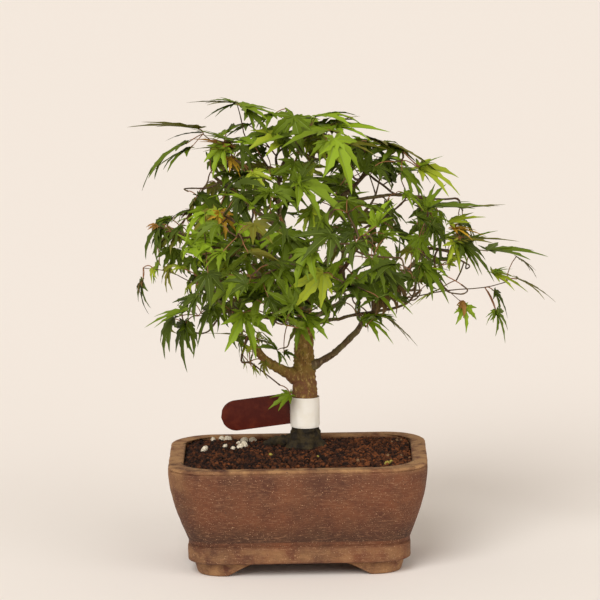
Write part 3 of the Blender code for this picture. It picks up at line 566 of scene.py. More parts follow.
for place, (side_x, side_y) in {
    "front_left": (-1, -1), "front_right": (1, -1), "back_left": (-1, 1), "back_right": (1, 1)
}.items():
    foot = wrapped(f"foot_{place}", foot_grid(side_x, side_y), clay)
    foot.data.set_sharp_from_angle(angle=FOOT_EDGE)
    set_values(foot, "wear_and_painted_light", np.full(len(foot.data.vertices), FOOT_WEAR))
    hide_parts(f"pot_foot_{place}")


# Soil: loose fired-clay granules poured in to just under the lip and heaped a little towards the trunk, over
# a bed of the same.
SOIL_EDGE = POT_HEIGHT - 0.0035
SOIL_MOUND = 0.004
SOIL_GAP = 0.0003
TRUNK_FOOT = np.array((0.0055 + POT_X, 0.018))
DOME_SHARE = 0.78
PORE_SHADE = 0.45
BED_COLOUR = (0.030, 0.013, 0.009)
BED_DEPTH = 0.0012
BED_UNEVEN = 0.0005
BED_WAVE = 0.006
BED_SHARES = (0.004, 0.97)
BED_ROWS = 34
BED_SIDE_ROWS = 6


def soil_height(places):
    """Height of the soil: a quarter of a sine from the wall up to the trunk's foot."""
    apart_x = np.abs(places[..., 0] - POT_X) / (HALF_WIDTH - POT_WALL)
    apart_y = np.abs(places[..., 1]) / (HALF_DEPTH - POT_WALL)
    share = np.clip((1 - np.maximum(apart_x, apart_y)) / DOME_SHARE, 0, 1)
    return SOIL_EDGE + SOIL_MOUND * np.sin(0.5 * np.pi * share)


def soil_finish(name, colour, roughness=0.9):
    """Porous fired clay: one colour with darker pores and a rough skin."""
    finish, tree, shader, place = new_finish(name, roughness)
    shader.inputs["Specular IOR Level"].default_value = 0.2
    dark = tuple(PORE_SHADE * part for part in colour)
    pores = cloudy(tree, place, 900.0, detail=3.0)
    tree.links.new(overlaid(tree, pores, 0.36, 0.6, dark, colour), shader.inputs["Base Color"])
    roughen(tree, shader, pores, 0.6, 0.0004)
    return finish


def make_soil_bed():
    """Outlines drawn in from the wall to the trunk's foot, over a plain block down to the pot's floor."""
    low = np.linspace(FOOT_HEIGHT + POT_FLOOR + SOIL_GAP, SOIL_EDGE - BED_DEPTH, BED_SIDE_ROWS)
    inset = wall_inset(low) + POT_WALL + SOIL_GAP
    sides = outlines(HALF_WIDTH - inset, HALF_DEPTH - inset, INNER_CORNER, low)
    shares = np.linspace(*BED_SHARES, BED_ROWS)
    size = 1 - shares
    inset = POT_WALL + SOIL_GAP
    top = outlines(size * (HALF_WIDTH - inset), size * (HALF_DEPTH - inset), size * INNER_CORNER, 0.0 * size)
    middle = np.array((TRUNK_FOOT[0] - POT_X, TRUNK_FOOT[1], 0.0))
    top = top + shares[:, None, None] * middle
    top[..., 2] = soil_height(top) - BED_DEPTH + BED_UNEVEN * ripples(top, BED_WAVE, 5)
    bed = wrapped("soil_bed", np.concatenate([sides, top]), soil_finish("soil_bed", BED_COLOUR))
    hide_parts("soil")


make_soil_bed()

GRANULE_PITCH = 0.0021
GRANULE_JITTER = 0.55
GRANULE_SMALLEST = 0.0009
GRANULE_LARGEST = 0.0025
GRANULE_LIFT = (-0.0012, 0.0007)
GRANULE_SINK = 0.2
ROOM_AT_WALL = 0.0013
ROOM_AT_TRUNK = 0.0125
GRANULE_TINTS = {
    "wet_black": (0.018, 0.008, 0.005),
    "dark_umber": (0.056, 0.019, 0.008),
    "red_brown": (0.112, 0.036, 0.012),
    "rust": (0.185, 0.058, 0.018),
    "dry_tan": (0.26, 0.145, 0.070),
}
TINT_LIMITS = (-9.0, 0.34, 0.68, 0.93, 1.16, 9.0)
TINT_DRIFT = 0.33
DRIFT_TO_RUST = 0.6
DRIFT_PATCHES = 0.4
DRIFT_WAVE = 0.03
LONGEST_EDGE = 2.1


def lump_shape(rounds):
    """Corners and faces of an icosahedron, split into four for each round, on a ball of radius one."""
    golden = (1 + math.sqrt(5)) / 2
    corners = [(0, a, b * golden) for a in (-1, 1) for b in (-1, 1)]
    corners += [(x, y, z) for y, z, x in corners] + [(x, y, z) for z, x, y in corners]
    corners = np.array(corners, float)
    apart = np.linalg.norm(corners[:, None] - corners, axis=2)
    faces = [
        (i, j, k) for i in range(12) for j in range(i + 1, 12) for k in range(j + 1, 12)
        if max(apart[i, j], apart[j, k], apart[i, k]) < LONGEST_EDGE
    ]
    faces = [
        (i, j, k) if np.dot(np.cross(corners[j] - corners[i], corners[k] - corners[i]), corners[i]) > 0
        else (i, k, j) for i, j, k in faces
    ]
    corners = unit(corners)
    for _ in range(rounds):
        middles = {}
        points = list(corners)
        split = []
        for face in faces:
            halves = []
            for a, b in zip(face, face[1:] + face[:1]):
                key = (min(a, b), max(a, b))
                if key not in middles:
                    middles[key] = len(points)
                    points.append(unit(corners[a] + corners[b]))
                halves.append(middles[key])
            ab, bc, ca = halves
            a, b, c = face
            split += [(a, ab, ca), (ab, b, bc), (ca, bc, c), (ab, bc, ca)]
        corners, faces = np.array(points), split
    return corners, np.array(faces)


def repeated(faces, copies, corners):
    """The faces of each copy of a shape, numbered on from the corners of the copies before it."""
    shifts = (np.arange(copies) * corners)[:, None, None]
    return (faces[None] + shifts).reshape(-1, faces.shape[1]).tolist()


def scattered_lumps(places, radii, shape, chance, jag=0.16, squash=0.25):
    """Points and faces of a lump at each place: the shape turned at random, stretched and jagged."""
    corners, faces = shape
    turns = np.linalg.qr(chance.normal(size=(len(places), 3, 3)))[0]
    turns[:, :, 0] *= np.linalg.det(turns)[:, None]
    stretch = chance.uniform(1 - squash, 1 + squash, (len(places), 1, 3))
    jagged = chance.uniform(1 - jag, 1 + jag, (len(places), len(corners), 1))
    points = (corners * stretch * jagged * radii[:, None, None]) @ turns.transpose(0, 2, 1) + places[:, None]
    return points, repeated(faces, len(places), len(corners))


def inside_pot(places, margin):
    """True for places inside the pot's inner outline by the margin."""
    half_width, half_depth = HALF_WIDTH - POT_WALL - margin, HALF_DEPTH - POT_WALL - margin
    corner = INNER_CORNER - margin
    over_x = np.maximum(np.abs(places[:, 0] - POT_X) - (half_width - corner), 0)
    over_y = np.maximum(np.abs(places[:, 1]) - (half_depth - corner), 0)
    return np.hypot(over_x, over_y) < corner


def make_granules():
    """Granules on a loose grid, sorted into a few tints; more are rust-red towards the right."""
    chance = np.random.default_rng(11)
    across = np.arange(POT_X - HALF_WIDTH, POT_X + HALF_WIDTH, GRANULE_PITCH)
    deep = np.arange(-HALF_DEPTH, HALF_DEPTH, GRANULE_PITCH)
    places = np.stack(np.meshgrid(across, deep), axis=-1).reshape(-1, 2)
    places = places + chance.uniform(-GRANULE_JITTER, GRANULE_JITTER, places.shape) * GRANULE_PITCH
    radii = GRANULE_SMALLEST + (GRANULE_LARGEST - GRANULE_SMALLEST) * chance.beta(1.6, 2.8, len(places))
    kept = inside_pot(places, ROOM_AT_WALL) & (np.hypot(*(places - TRUNK_FOOT).T) > ROOM_AT_TRUNK)
    places, radii = places[kept], radii[kept]
    lift = chance.uniform(*GRANULE_LIFT, len(places))
    heights = soil_height(places) + lift - GRANULE_SINK * radii
    places = np.column_stack([places, heights])
    patches = DRIFT_PATCHES * ripples(places, DRIFT_WAVE, 12)
    drift = DRIFT_TO_RUST * ((places[:, 0] - POT_X) / HALF_WIDTH + patches)
    draw = chance.uniform(size=len(places)) + TINT_DRIFT * drift
    shape = lump_shape(0)
    for kind, (tint, colour) in enumerate(GRANULE_TINTS.items()):
        chosen = (draw >= TINT_LIMITS[kind]) & (draw < TINT_LIMITS[kind + 1])
        points, faces = scattered_lumps(places[chosen], radii[chosen], shape, chance)
        finish = soil_finish(f"granule_{tint}", colour)
        heap = add_piece(f"granules_{tint}", points, faces, finish, smooth=False)


make_granules()


# Pumice: a few pale grains, mostly in the back left corner, with some yellow-green husks. They lie loose on
# the soil where the picture shows them. Pixels are those of their middles, and radii are in millimetres.
MILLIMETRE = 0.001
PUMICE_COLOUR = (0.84, 0.74, 0.57)
HUSK_COLOUR = (0.42, 0.34, 0.07)
STRAY_ROOM = 1.3
STRAY_RISE = 0.45
STRAY_JAG = 0.10
PUMICE_PIXELS = (
    (204.5, 450.5), (213.4, 438), (222.3, 436), (228.2, 439.5), (244, 443), (244.5, 449), (253, 442.5),
    (225, 448), (233, 451), (238.5, 446), (240.5, 450), (270.7, 446.5), (277.6, 447),
)
PUMICE_RADII = (3.0, 2.2, 2.7, 3.1, 3.2, 3.3, 3.0, 2.1, 1.9, 2.3, 2.9, 3.0, 1.4)
HUSK_PIXELS = ((270.7, 458), (314.8, 450), (387, 464), (391, 462), (318, 459))
HUSK_RADII = (1.4, 1.3, 1.9, 1.5, 0.9)


def make_strays(name, pixels, radii, finish, seed):
    """Lumps that lie on the soil where the picture shows them, all of them clear of the back wall."""
    places = in_space(pixels, HEIGHT_AXIS, SOIL_EDGE + SOIL_MOUND / 2)
    radii = MILLIMETRE * np.array(radii)
    places[:, 1] = np.minimum(places[:, 1], HALF_DEPTH - POT_WALL - STRAY_ROOM * radii)
    places[:, 2] = soil_height(places) + STRAY_RISE * radii
    chance = np.random.default_rng(seed)
    points, faces = scattered_lumps(places, radii, lump_shape(1), chance, jag=STRAY_JAG)
    stray = add_piece(name, points, faces, finish, smooth=False)


make_strays("pumice_grains", PUMICE_PIXELS, PUMICE_RADII, soil_finish("pumice", PUMICE_COLOUR), 21)
make_strays("seed_husks", HUSK_PIXELS, HUSK_RADII, soil_finish("husk", HUSK_COLOUR), 22)


# Trunk: one stem of rough brown and olive bark with a slight lean and bend. Its foot flares into roots, and
# below the label it is stained nearly black where it stays wet.
SOIL_TOP = SOIL_EDGE + SOIL_MOUND
TRUNK_BASE = np.array((*TRUNK_FOOT, SOIL_TOP + SOIL_GAP))
TRUNK_LEAVING = (0.004, 0.0, 0.14)
TRUNK_ARRIVING = (0.008, 0.002, 0.12)
TRUNK_TOP = (0.0080 + POT_X, 0.019, 0.212)
TRUNK_RADIUS = 0.0106
TRUNK_TOP_RADIUS = 0.0044
TAPER_POWER = 1.35
TRUNK_SWELL = 0.0009
SWELL_HEIGHT = 0.131
SWELL_FADE = 0.014
ROOT_FLARE = 0.0048
FLARE_FADE = 0.008
ROOT_RIDGES = 5
RIDGE_DEPTH = 0.16
RIDGE_FADE = 0.007
RIDGE_TURN = 0.7
TOP_CLOSING = 0.004
LABEL_LOW = 0.1045
LABEL_HEIGHT = 0.0245
LABEL_MARGIN = 0.001
PRESSED_SHARE = 0.3
PRESSED_DEPTH = 0.0002
TRUNK_ROWS = 190
TRUNK_COLUMNS = 84
# The bark's ridges, grain, rings and warts: height, stretch along each axis, wavelength and seed
ALL_WAYS = (1.0, 1.0, 1.0)
TRUNK_RELIEF = (
    (0.00034, (1.0, 1.0, 0.30), 0.0050, 31),
    (0.00026, ALL_WAYS, 0.0028, 32),
    (0.00030, (0.3, 0.3, 1.0), 0.0045, 33),
    (0.00012, ALL_WAYS, 0.0012, 34),
)
REDDISH_BARK = (0.185, 0.078, 0.034)
WET_BARK = (0.013, 0.009, 0.005)
WET_BARK_PALE = (0.060, 0.041, 0.013)
FLECK_STRETCH = (420.0, 420.0, 260.0)
CRACK_STRETCH = (700.0, 700.0, 150.0)
CRACK_SHADE = 0.25
REDDISH_FROM = 0.042
REDDISH_FULL = 0.030
STAIN_EDGE = 0.004


def rough_skin(points, relief):
    """The sum of ripples over points stretched along each axis, one for each row of the relief."""
    return sum(
        height * ripples(points * stretch, wavelength, seed) for height, stretch, wavelength, seed in relief
    )


def smooth_path(base, leaving, arriving, tip, count):
    """A Bezier curve from base to tip that leaves and arrives along the two given vectors."""
    a, d = np.array(base), np.array(tip)
    b, c = a + np.array(leaving) / 3, d - np.array(arriving) / 3
    t = np.linspace(0.0, 1.0, count)[:, None]
    return a * (1 - t) ** 3 + 3 * b * t * (1 - t) ** 2 + 3 * c * t**2 * (1 - t) + d * t**3


def trunk_radius(height):
    """Taper towards the top, a slight swell above the label and a flare that fades just over the soil."""
    share = np.clip((height - SOIL_TOP) / (TRUNK_TOP[2] - SOIL_TOP), 0, 1)
    taper = TRUNK_RADIUS + (TRUNK_TOP_RADIUS - TRUNK_RADIUS) * share**TAPER_POWER
    taper = taper + TRUNK_SWELL * np.exp(-(((height - SWELL_HEIGHT) / SWELL_FADE) ** 2))
    return taper + ROOT_FLARE * np.exp(-(height - SOIL_TOP) / FLARE_FADE)


def round_about(path, radii, columns):
    """Rings of points square to a path, and the direction from the path to each point."""
    ways = unit(np.gradient(path, axis=0))
    mean_way = unit(path[-1] - path[0])
    reference = np.eye(3)[int(np.argmin(np.abs(mean_way)))]
    side = unit(np.cross(reference, ways))
    other = np.cross(ways, side)
    angles = np.linspace(0, 2 * np.pi, columns, endpoint=False)
    outward = np.cos(angles)[:, None] * side[:, None] + np.sin(angles)[:, None] * other[:, None]
    return path[:, None] + radii[:, None, None] * outward, outward


def bark_finish(name, colours, stain_height, roughness=0.78):
    """Bark in three mottled colours with fine cracks along the limb. Below a height it is stained dark, and
    for some way above it is reddish in patches."""
    finish, tree, shader, place = new_finish(name, roughness)
    shader.inputs["Specular IOR Level"].default_value = 0.25
    brown, olive, pale = colours
    mottle = cloudy(tree, place, 120.0, detail=6.0, roughness=0.7)
    flecks = cloudy(tree, stretched(tree, place, FLECK_STRETCH), 1.0, detail=4.0, roughness=0.7)
    cracks = cloudy(tree, stretched(tree, place, CRACK_STRETCH), 1.0, detail=3.0)
    base = overlaid(tree, mottle, 0.40, 0.60, brown, olive)
    base = overlaid(tree, flecks, 0.54, 0.68, base, pale)
    base = overlaid(tree, cracks, 0.42, 0.30, base, tuple(CRACK_SHADE * part for part in brown))
    if stain_height:
        parts = tree.nodes.new("ShaderNodeSeparateXYZ")
        tree.links.new(place, parts.inputs["Vector"])
        height = parts.outputs["Z"]
        reddish = steps(tree, height, stain_height + REDDISH_FROM, stain_height + REDDISH_FULL)
        patchy = product(tree, reddish, steps(tree, flecks, 0.62, 0.44))
        base = blended(tree, patchy, base, REDDISH_BARK)
        wet = overlaid(tree, mottle, 0.42, 0.66, WET_BARK, WET_BARK_PALE)
        base = overlaid(tree, height, stain_height + STAIN_EDGE, stain_height - STAIN_EDGE, base, wet)
    tree.links.new(base, shader.inputs["Base Color"])
    roughen(tree, shader, product(tree, cracks, flecks), 0.7, 0.0010)
    return finish


OLD_BARK = ((0.210, 0.108, 0.026), (0.250, 0.172, 0.030), (0.460, 0.300, 0.110))
YOUNG_BARK = ((0.120, 0.072, 0.034), (0.150, 0.125, 0.045), (0.270, 0.200, 0.105))
old_bark = bark_finish("maple_bark", OLD_BARK, LABEL_LOW + 0.008)
young_bark = bark_finish("young_maple_bark", YOUNG_BARK, None, roughness=0.6)
limbs = {}


def make_trunk():
    """Rings round the bent axis with root ridges at the foot, long bark ridges and small warts."""
    path = smooth_path(TRUNK_BASE, TRUNK_LEAVING, TRUNK_ARRIVING, TRUNK_TOP, TRUNK_ROWS)
    radii = trunk_radius(path[:, 2])
    limbs["trunk"] = (path, radii)
    heights = path[:, 2]
    near_top = (heights - TRUNK_TOP[2] + TOP_CLOSING) / (TOP_CLOSING + 0.0001)
    closing = np.sqrt(np.clip(1 - near_top.clip(0) ** 2, 0.02, 1))
    angles = np.linspace(0, 2 * np.pi, TRUNK_COLUMNS, endpoint=False)
    ridge = RIDGE_DEPTH * np.exp(-(heights - TRUNK_BASE[2]) / RIDGE_FADE)[:, None]
    reach = radii[:, None] * (1 + ridge * np.cos(ROOT_RIDGES * angles + RIDGE_TURN)) * closing[:, None]
    flat = np.stack([np.cos(angles), np.sin(angles), 0 * angles], axis=-1)
    grid = path[:, None] + reach[..., None] * flat
    relief = rough_skin(grid, TRUNK_RELIEF)
    above, below = heights > LABEL_LOW - LABEL_MARGIN, heights < LABEL_LOW + LABEL_HEIGHT + LABEL_MARGIN
    relief = np.where((above & below)[:, None], PRESSED_SHARE * relief - PRESSED_DEPTH, relief)
    grid = grid + (relief * closing[:, None])[..., None] * flat
    trunk = wrapped("trunk_bark", grid, old_bark)
    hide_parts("trunk")


make_trunk()


# Surface root: a short dark root of the same bark that leaves the trunk's foot and runs to the left over the
# soil and into it. Its points are measured from the middle of the trunk's foot.
ROOT_POINTS = (
    (-0.006, 0.001, 0.0045), (-0.016, 0.003, 0.0040), (-0.026, 0.005, 0.0026), (-0.033, 0.006, -0.0014),
)
ROOT_RADII = (0.0048, 0.0046, 0.0040, 0.0022)
ROOT_TIP = 0.1
ROOT_ROWS = 40
ROOT_COLUMNS = 24
ROOT_SMOOTHING = 6
ROOT_RELIEF = ((0.0007, ALL_WAYS, 0.006, 41), (0.0002, ALL_WAYS, 0.002, 42))


def along_knots(knots, radii, count, rounds):
    """Points and radii spread evenly from knot to knot. Each round of smoothing puts every point but the
    ends at the mean of itself and its two neighbours."""
    shares = np.linspace(0, len(knots) - 1, count)
    path = np.stack([np.interp(shares, range(len(knots)), knots[:, axis]) for axis in range(3)], axis=-1)
    for _ in range(rounds):
        path[1:-1] = (path[:-2] + path[1:-1] + path[2:]) / 3
    return path, np.interp(shares, range(len(knots)), radii)


def make_surface_root():
    """A bent tube through a few points, knotted by ripples and closed at both ends."""
    knots = np.array(ROOT_POINTS) + np.array((*TRUNK_FOOT, SOIL_TOP))
    path, radii = along_knots(knots, ROOT_RADII, ROOT_ROWS, ROOT_SMOOTHING)
    near_tip = past(np.linspace(0, 1, ROOT_ROWS), 1 - ROOT_TIP, ROOT_TIP)
    radii = radii * np.sqrt(np.clip(1 - near_tip**2, 0.01, 1))
    grid, outward = round_about(path, radii, ROOT_COLUMNS)
    grid = grid + rough_skin(grid, ROOT_RELIEF)[..., None] * outward
    root = wrapped("surface_root", grid, old_bark)


make_surface_root()


# Boughs: the tree's limbs, smooth and olive-brown, each tapering from a collar on its parent to the place
# where it breaks into twigs. Old bud scars ring them at even distances.
BOUGH_ROWS = 70
BOUGH_COLUMNS = 18
TAPER_SHARE_POWER = 0.8
COLLAR_SWELL = 0.55
COLLAR_FADE = 0.0035
SCAR_SPACING = 0.017
SCAR_SWELL = 0.16
SCAR_WIDTH = 0.0011
WANDER = 0.0006
WANDER_WAVE = 0.02
WANDER_SEEDS = (51, 52, 53)
BOUGH_RELIEF = ((0.06, (1, 1, 0.5), 0.004, 54), (0.035, ALL_WAYS, 0.0016, 55))
POT_MIDDLE = np.array((POT_X, 0.0, 0.0))
# Each bough: its parent, its share along the parent, the ways that it leaves and arrives, its tip measured
# from the pot's middle, and its radii at both ends, in millimetres
BOUGHS = {
    "leader": ("trunk", 0.99, (12, 4, 80), (70, 12, 50), (43, 28, 290), 3.8, 1.9),
    "bough_low_right": ("trunk", 0.49, (110, -20, 30), (90, 6, 85), (100, 4, 243), 3.1, 1.5),
    "bough_low_left": ("trunk", 0.42, (-60, -10, 20), (-20, -6, 40), (-34, 7, 174), 5.0, 2.6),
    "bough_mid_left": ("trunk", 0.80, (-40, -20, 10), (-40, -15, 12), (-44, -6, 201), 2.0, 1.3),
    "bough_mid_right": ("trunk", 0.77, (30, -10, 12), (30, -24, 10), (44, -12, 198), 1.8, 1.2),
    "bough_top": ("leader", 0.12, (-50, -12, 60), (8, -2, 70), (-11, 12, 302), 3.0, 1.5),
    "bough_top_left": ("bough_top", 0.55, (-40, -4, 20), (-40, -8, 30), (-46, 6, 294), 1.9, 1.2),
    "bough_upper_right": ("leader", 0.80, (40, 0, 4), (40, -10, 0), (76, 20, 288), 1.8, 1.2),
    "bough_upper_left": ("trunk", 0.90, (-50, 0, 30), (-40, 4, 30), (-50, 17, 246), 2.2, 1.3),
    "bough_right_back": ("bough_low_right", 0.62, (30, 30, 4), (30, 26, -6), (83, 30, 210), 1.6, 1.1),
    "bough_front_left": ("trunk", 0.93, (-16, -56, 30), (-20, -50, 36), (-14, -44, 248), 2.2, 1.3),
    "bough_front_right": ("trunk", 0.88, (18, -50, 34), (24, -50, 36), (34, -44, 236), 2.2, 1.3),
    "bough_front_low": ("trunk", 0.83, (-4, -40, 12), (-6, -40, 14), (-1, -30, 205), 1.8, 1.2),
    "bough_back_left": ("trunk", 0.92, (-30, 46, 30), (-36, 40, 36), (-28, 56, 252), 2.2, 1.3),
    "bough_back_right": ("trunk", 0.89, (26, 44, 30), (32, 40, 34), (36, 58, 248), 2.2, 1.3),
    "bough_back_low_left": ("trunk", 0.85, (-24, 40, 12), (-26, 36, 14), (-18, 50, 204), 1.8, 1.2),
    "bough_back_low_right": ("trunk", 0.81, (30, 36, 12), (30, 34, 14), (36, 50, 199), 1.8, 1.2),
}


def make_bough(name, parent, share, leaving, arriving, tip, thick, thin):
    """A tapering tube from the middle of its parent, with a collar, bud scars and bark ripples."""
    parent_path, parent_radii = limbs[parent]
    place = share * (len(parent_path) - 1)
    base = parent_path[int(place)]
    tip = MILLIMETRE * np.array(tip, float) + POT_MIDDLE
    path = smooth_path(base, MILLIMETRE * np.array(leaving), MILLIMETRE * np.array(arriving), tip, BOUGH_ROWS)
    shares = np.linspace(0, 1, BOUGH_ROWS)
    radii = MILLIMETRE * (thick + (thin - thick) * shares**TAPER_SHARE_POWER)
    limbs[name] = (path, radii)
    travelled = np.concatenate([[0], np.cumsum(np.linalg.norm(np.diff(path, axis=0), axis=1))])
    clear_of_parent = travelled - parent_radii[int(place)]
    collar = COLLAR_SWELL * np.exp(-clear_of_parent.clip(0) / COLLAR_FADE)
    past_scar = (clear_of_parent + SCAR_SPACING / 3) % SCAR_SPACING - SCAR_SPACING / 2
    scars = SCAR_SWELL * np.exp(-((past_scar / SCAR_WIDTH) ** 2)) * (clear_of_parent > 0)
    wander = WANDER * np.stack([ripples(path, WANDER_WAVE, seed) for seed in WANDER_SEEDS], axis=-1)
    path = path + wander * np.sin(np.pi * shares)[:, None]
    grid, outward = round_about(path, radii * (1 + collar + scars), BOUGH_COLUMNS)
    relief = radii[:, None] * rough_skin(grid, BOUGH_RELIEF)
    grid = grid + relief[..., None] * outward
    finish = old_bark if name == "bough_low_left" else young_bark
    bough = wrapped(f"{name}_bark", grid, finish)
    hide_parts(name)


for name, bough in BOUGHS.items():
    make_bough(name, *bough)


# Label: a strip of plain white paper wound twice round the trunk, the inner turn a little lower, and a dark
# brown card tongue held under it. Both are blank.
band_low, band_high = (np.array(corner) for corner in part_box("label_band"))
tongue_low, tongue_high = (np.array(corner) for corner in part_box("label_tongue"))
PAPER_THICK = 0.00035
PAPER_TIGHTER = 0.00055
TONGUE_TUCK = 0.0014
PAPER_COLUMNS = 96
PAPER_ROWS = 14
TONGUE_THICK = 0.0006
TONGUE_RISE = 0.0065
TONGUE_LENGTH = 0.054
TONGUE_HEIGHT = 0.0245
TONGUE_BOW = 0.00012
TONGUE_SHY = 0.0001
TONGUE_COLUMNS = 40
PAPER_WHITE = (0.95, 0.90, 0.81)
PAPER_CREAM = (0.90, 0.83, 0.70)
CARD_BROWN = (0.066, 0.007, 0.003)
CARD_SCUFF = (0.110, 0.016, 0.006)
CREASE_STRETCH = (60.0, 60.0, 240.0)
PAPER_SLANT = 0.0003
PAPER_UNEVEN = 0.00014
PAPER_WAVE = 0.007
PAPER_EDGE = math.radians(40)
# Each turn of paper: how far it stays inside the band at its foot and its top, how much tighter, and its seed
PAPER_TURNS = ((0.0014, 0.0003, 0.0, 61), (0.0003, 0.0012, PAPER_THICK + 0.00012, 62))


def paper_finish():
    """Matt white paper with a faint cream stain and soft creases."""
    finish, tree, shader, place = new_finish("white_paper", 0.7)
    stain = cloudy(tree, place, 90.0, detail=4.0)
    colour = overlaid(tree, stain, 0.45, 0.75, PAPER_WHITE, PAPER_CREAM)
    tree.links.new(colour, shader.inputs["Base Color"])
    creases = cloudy(tree, stretched(tree, place, CREASE_STRETCH), 1.0, detail=3.0)
    roughen(tree, shader, creases, 0.35, 0.0006)
    return finish


def card_finish():
    """Dark brown coated card: a slight gloss, and faint scuffs that show a redder brown."""
    finish, tree, shader, place = new_finish("brown_card", 0.26)
    scuffs = cloudy(tree, place, 130.0, detail=5.0)
    colour = overlaid(tree, scuffs, 0.42, 0.72, CARD_BROWN, CARD_SCUFF)
    tree.links.new(colour, shader.inputs["Base Color"])
    shader.inputs["Specular IOR Level"].default_value = 0.18
    roughen(tree, shader, scuffs, 0.15, 0.0004)
    return finish


def wound_strip(low, high, radius, seed):
    """One turn of paper: up its outer face and down its inner one, slightly out of round and creased."""
    heights = np.concatenate([np.linspace(low, high, PAPER_ROWS), np.linspace(high, low, PAPER_ROWS)])
    radii = np.concatenate([np.full(PAPER_ROWS, radius), np.full(PAPER_ROWS, radius - PAPER_THICK)])
    angles = np.linspace(0, 2 * np.pi, PAPER_COLUMNS, endpoint=False)
    middle = (band_low + band_high) / 2
    outward = np.stack([np.cos(angles), np.sin(angles), 0 * angles], axis=-1)
    grid = middle * (1, 1, 0) + radii[:, None, None] * outward
    grid[..., 2] = heights[:, None] + PAPER_SLANT * np.sin(angles + seed)
    grid += (PAPER_UNEVEN * ripples(grid * (1, 1, 0.4), PAPER_WAVE, seed))[..., None] * outward
    return grid


def make_strip():
    """The two turns of paper, the outer one first, each with its faces closed round it and over its edges."""
    radius = (band_high[0] - band_low[0]) / 2 - PAPER_TIGHTER
    turns = [
        wound_strip(band_low[2] + foot, band_high[2] - top, radius - tighter, seed)
        for foot, top, tighter, seed in PAPER_TURNS
    ]
    rows = 2 * PAPER_ROWS
    turn = np.arange(rows * PAPER_COLUMNS).reshape(rows, PAPER_COLUMNS)
    ring = np.concatenate([turn, turn[:1]])
    after = np.roll(ring, -1, axis=1)
    quads = np.stack([ring[:-1], after[:-1], after[1:], ring[1:]], axis=-1).reshape(-1, 4)
    faces = repeated(quads, len(turns), rows * PAPER_COLUMNS)
    strip = add_piece("paper_strip", np.stack(turns), faces, paper_finish())
    strip.data.set_sharp_from_angle(angle=PAPER_EDGE)
    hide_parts("label_band")


def make_tongue():
    """A flat tongue that slopes along its length and bows a little; its free end is a half circle."""
    end = TONGUE_HEIGHT / 2
    shares = np.linspace(0, 1, TONGUE_COLUMNS)
    along = TONGUE_TUCK - (TONGUE_LENGTH + TONGUE_TUCK) * shares
    from_end = TONGUE_LENGTH + along
    half = end * np.sqrt(np.clip(1 - ((end - from_end) / end).clip(0) ** 2, 0.0004, 1))
    rise = TONGUE_RISE / TONGUE_LENGTH
    cosine, sine = 1 / math.hypot(1, rise), rise / math.hypot(1, rise)
    bow = TONGUE_BOW * np.sin(np.pi * shares)
    corners = []
    for across, out in ((-1, -1), (1, -1), (1, 1), (-1, 1)):
        up = end + across * half
        x = tongue_high[0] - TONGUE_SHY + along * cosine - (up - end) * sine
        y = (tongue_low[1] + tongue_high[1]) / 2 + out * TONGUE_THICK / 2 + bow
        z = tongue_high[2] - TONGUE_HEIGHT * cosine - TONGUE_SHY + up * cosine + along * sine
        corners.append(np.stack([x, y, z], axis=-1))
    grid = np.stack(corners, axis=1)
    tongue = wrapped("card_tongue", grid, card_finish(), smooth=False)
    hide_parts("label_tongue")


make_strip()
make_tongue()


# Foliage: seventeen clouds of twigs and leaves, one at the end of each bough. A leaf has five long toothed
# lobes and two short ones round the end of a thin red stalk; most are green, and some turn gold or dry up.
# Each mass: the bough that it grows on, its middle measured from the pot's middle and its reach, both in
# millimetres, and its kind
MASSES = {
    "foliage_top": ("bough_top", (2, 4, 333), 50, "top"),
    "foliage_top_left": ("bough_top_left", (-80, -2, 318), 58, "top"),
    "foliage_top_right": ("leader", (65, 20, 317), 54, "top"),
    "foliage_upper_right": ("bough_upper_right", (122, 12, 279), 53, "right"),
    "foliage_right": ("bough_low_right", (146, -8, 234), 62, "right"),
    "foliage_right_back": ("bough_right_back", (112, 50, 206), 48, "right"),
    "foliage_right_low": ("bough_mid_right", (76, -42, 205), 48, "right"),
    "foliage_left": ("bough_upper_left", (-85, 18, 258), 56, "left"),
    "foliage_left_low": ("bough_mid_left", (-80, -16, 206), 56, "left"),
    "foliage_low_left_shoots": ("bough_low_left", (-46, 0, 172), 30, "shoots"),
    "foliage_front_left": ("bough_front_left", (-34, -82, 266), 56, "middle"),
    "foliage_front_right": ("bough_front_right", (50, -82, 256), 56, "middle"),
    "foliage_front_low": ("bough_front_low", (-8, -66, 208), 46, "middle"),
    "foliage_back_left": ("bough_back_left", (-56, 85, 270), 56, "middle"),
    "foliage_back_right": ("bough_back_right", (62, 83, 268), 54, "middle"),
    "foliage_back_low_left": ("bough_back_low_left", (-40, 76, 212), 47, "middle"),
    "foliage_back_low_right": ("bough_back_low_right", (56, 78, 208), 47, "middle"),
}
# Deep green and bright green are partly the leaves' own tones and partly painted shade and painted light, for
# leaves that show shaded or lit
LEAF_TINTS = {
    "deep_green": (0.056, 0.082, 0.004),
    "mid_green": (0.104, 0.152, 0.005),
    "leaf_green": (0.155, 0.225, 0.008),
    "bright_green": (0.215, 0.315, 0.012),
    "yellow_green": (0.290, 0.345, 0.018),
    "olive": (0.150, 0.142, 0.012),
    "golden": (0.500, 0.300, 0.024),
    "russet": (0.270, 0.130, 0.024),
    "dry_brown": (0.120, 0.074, 0.020),
}
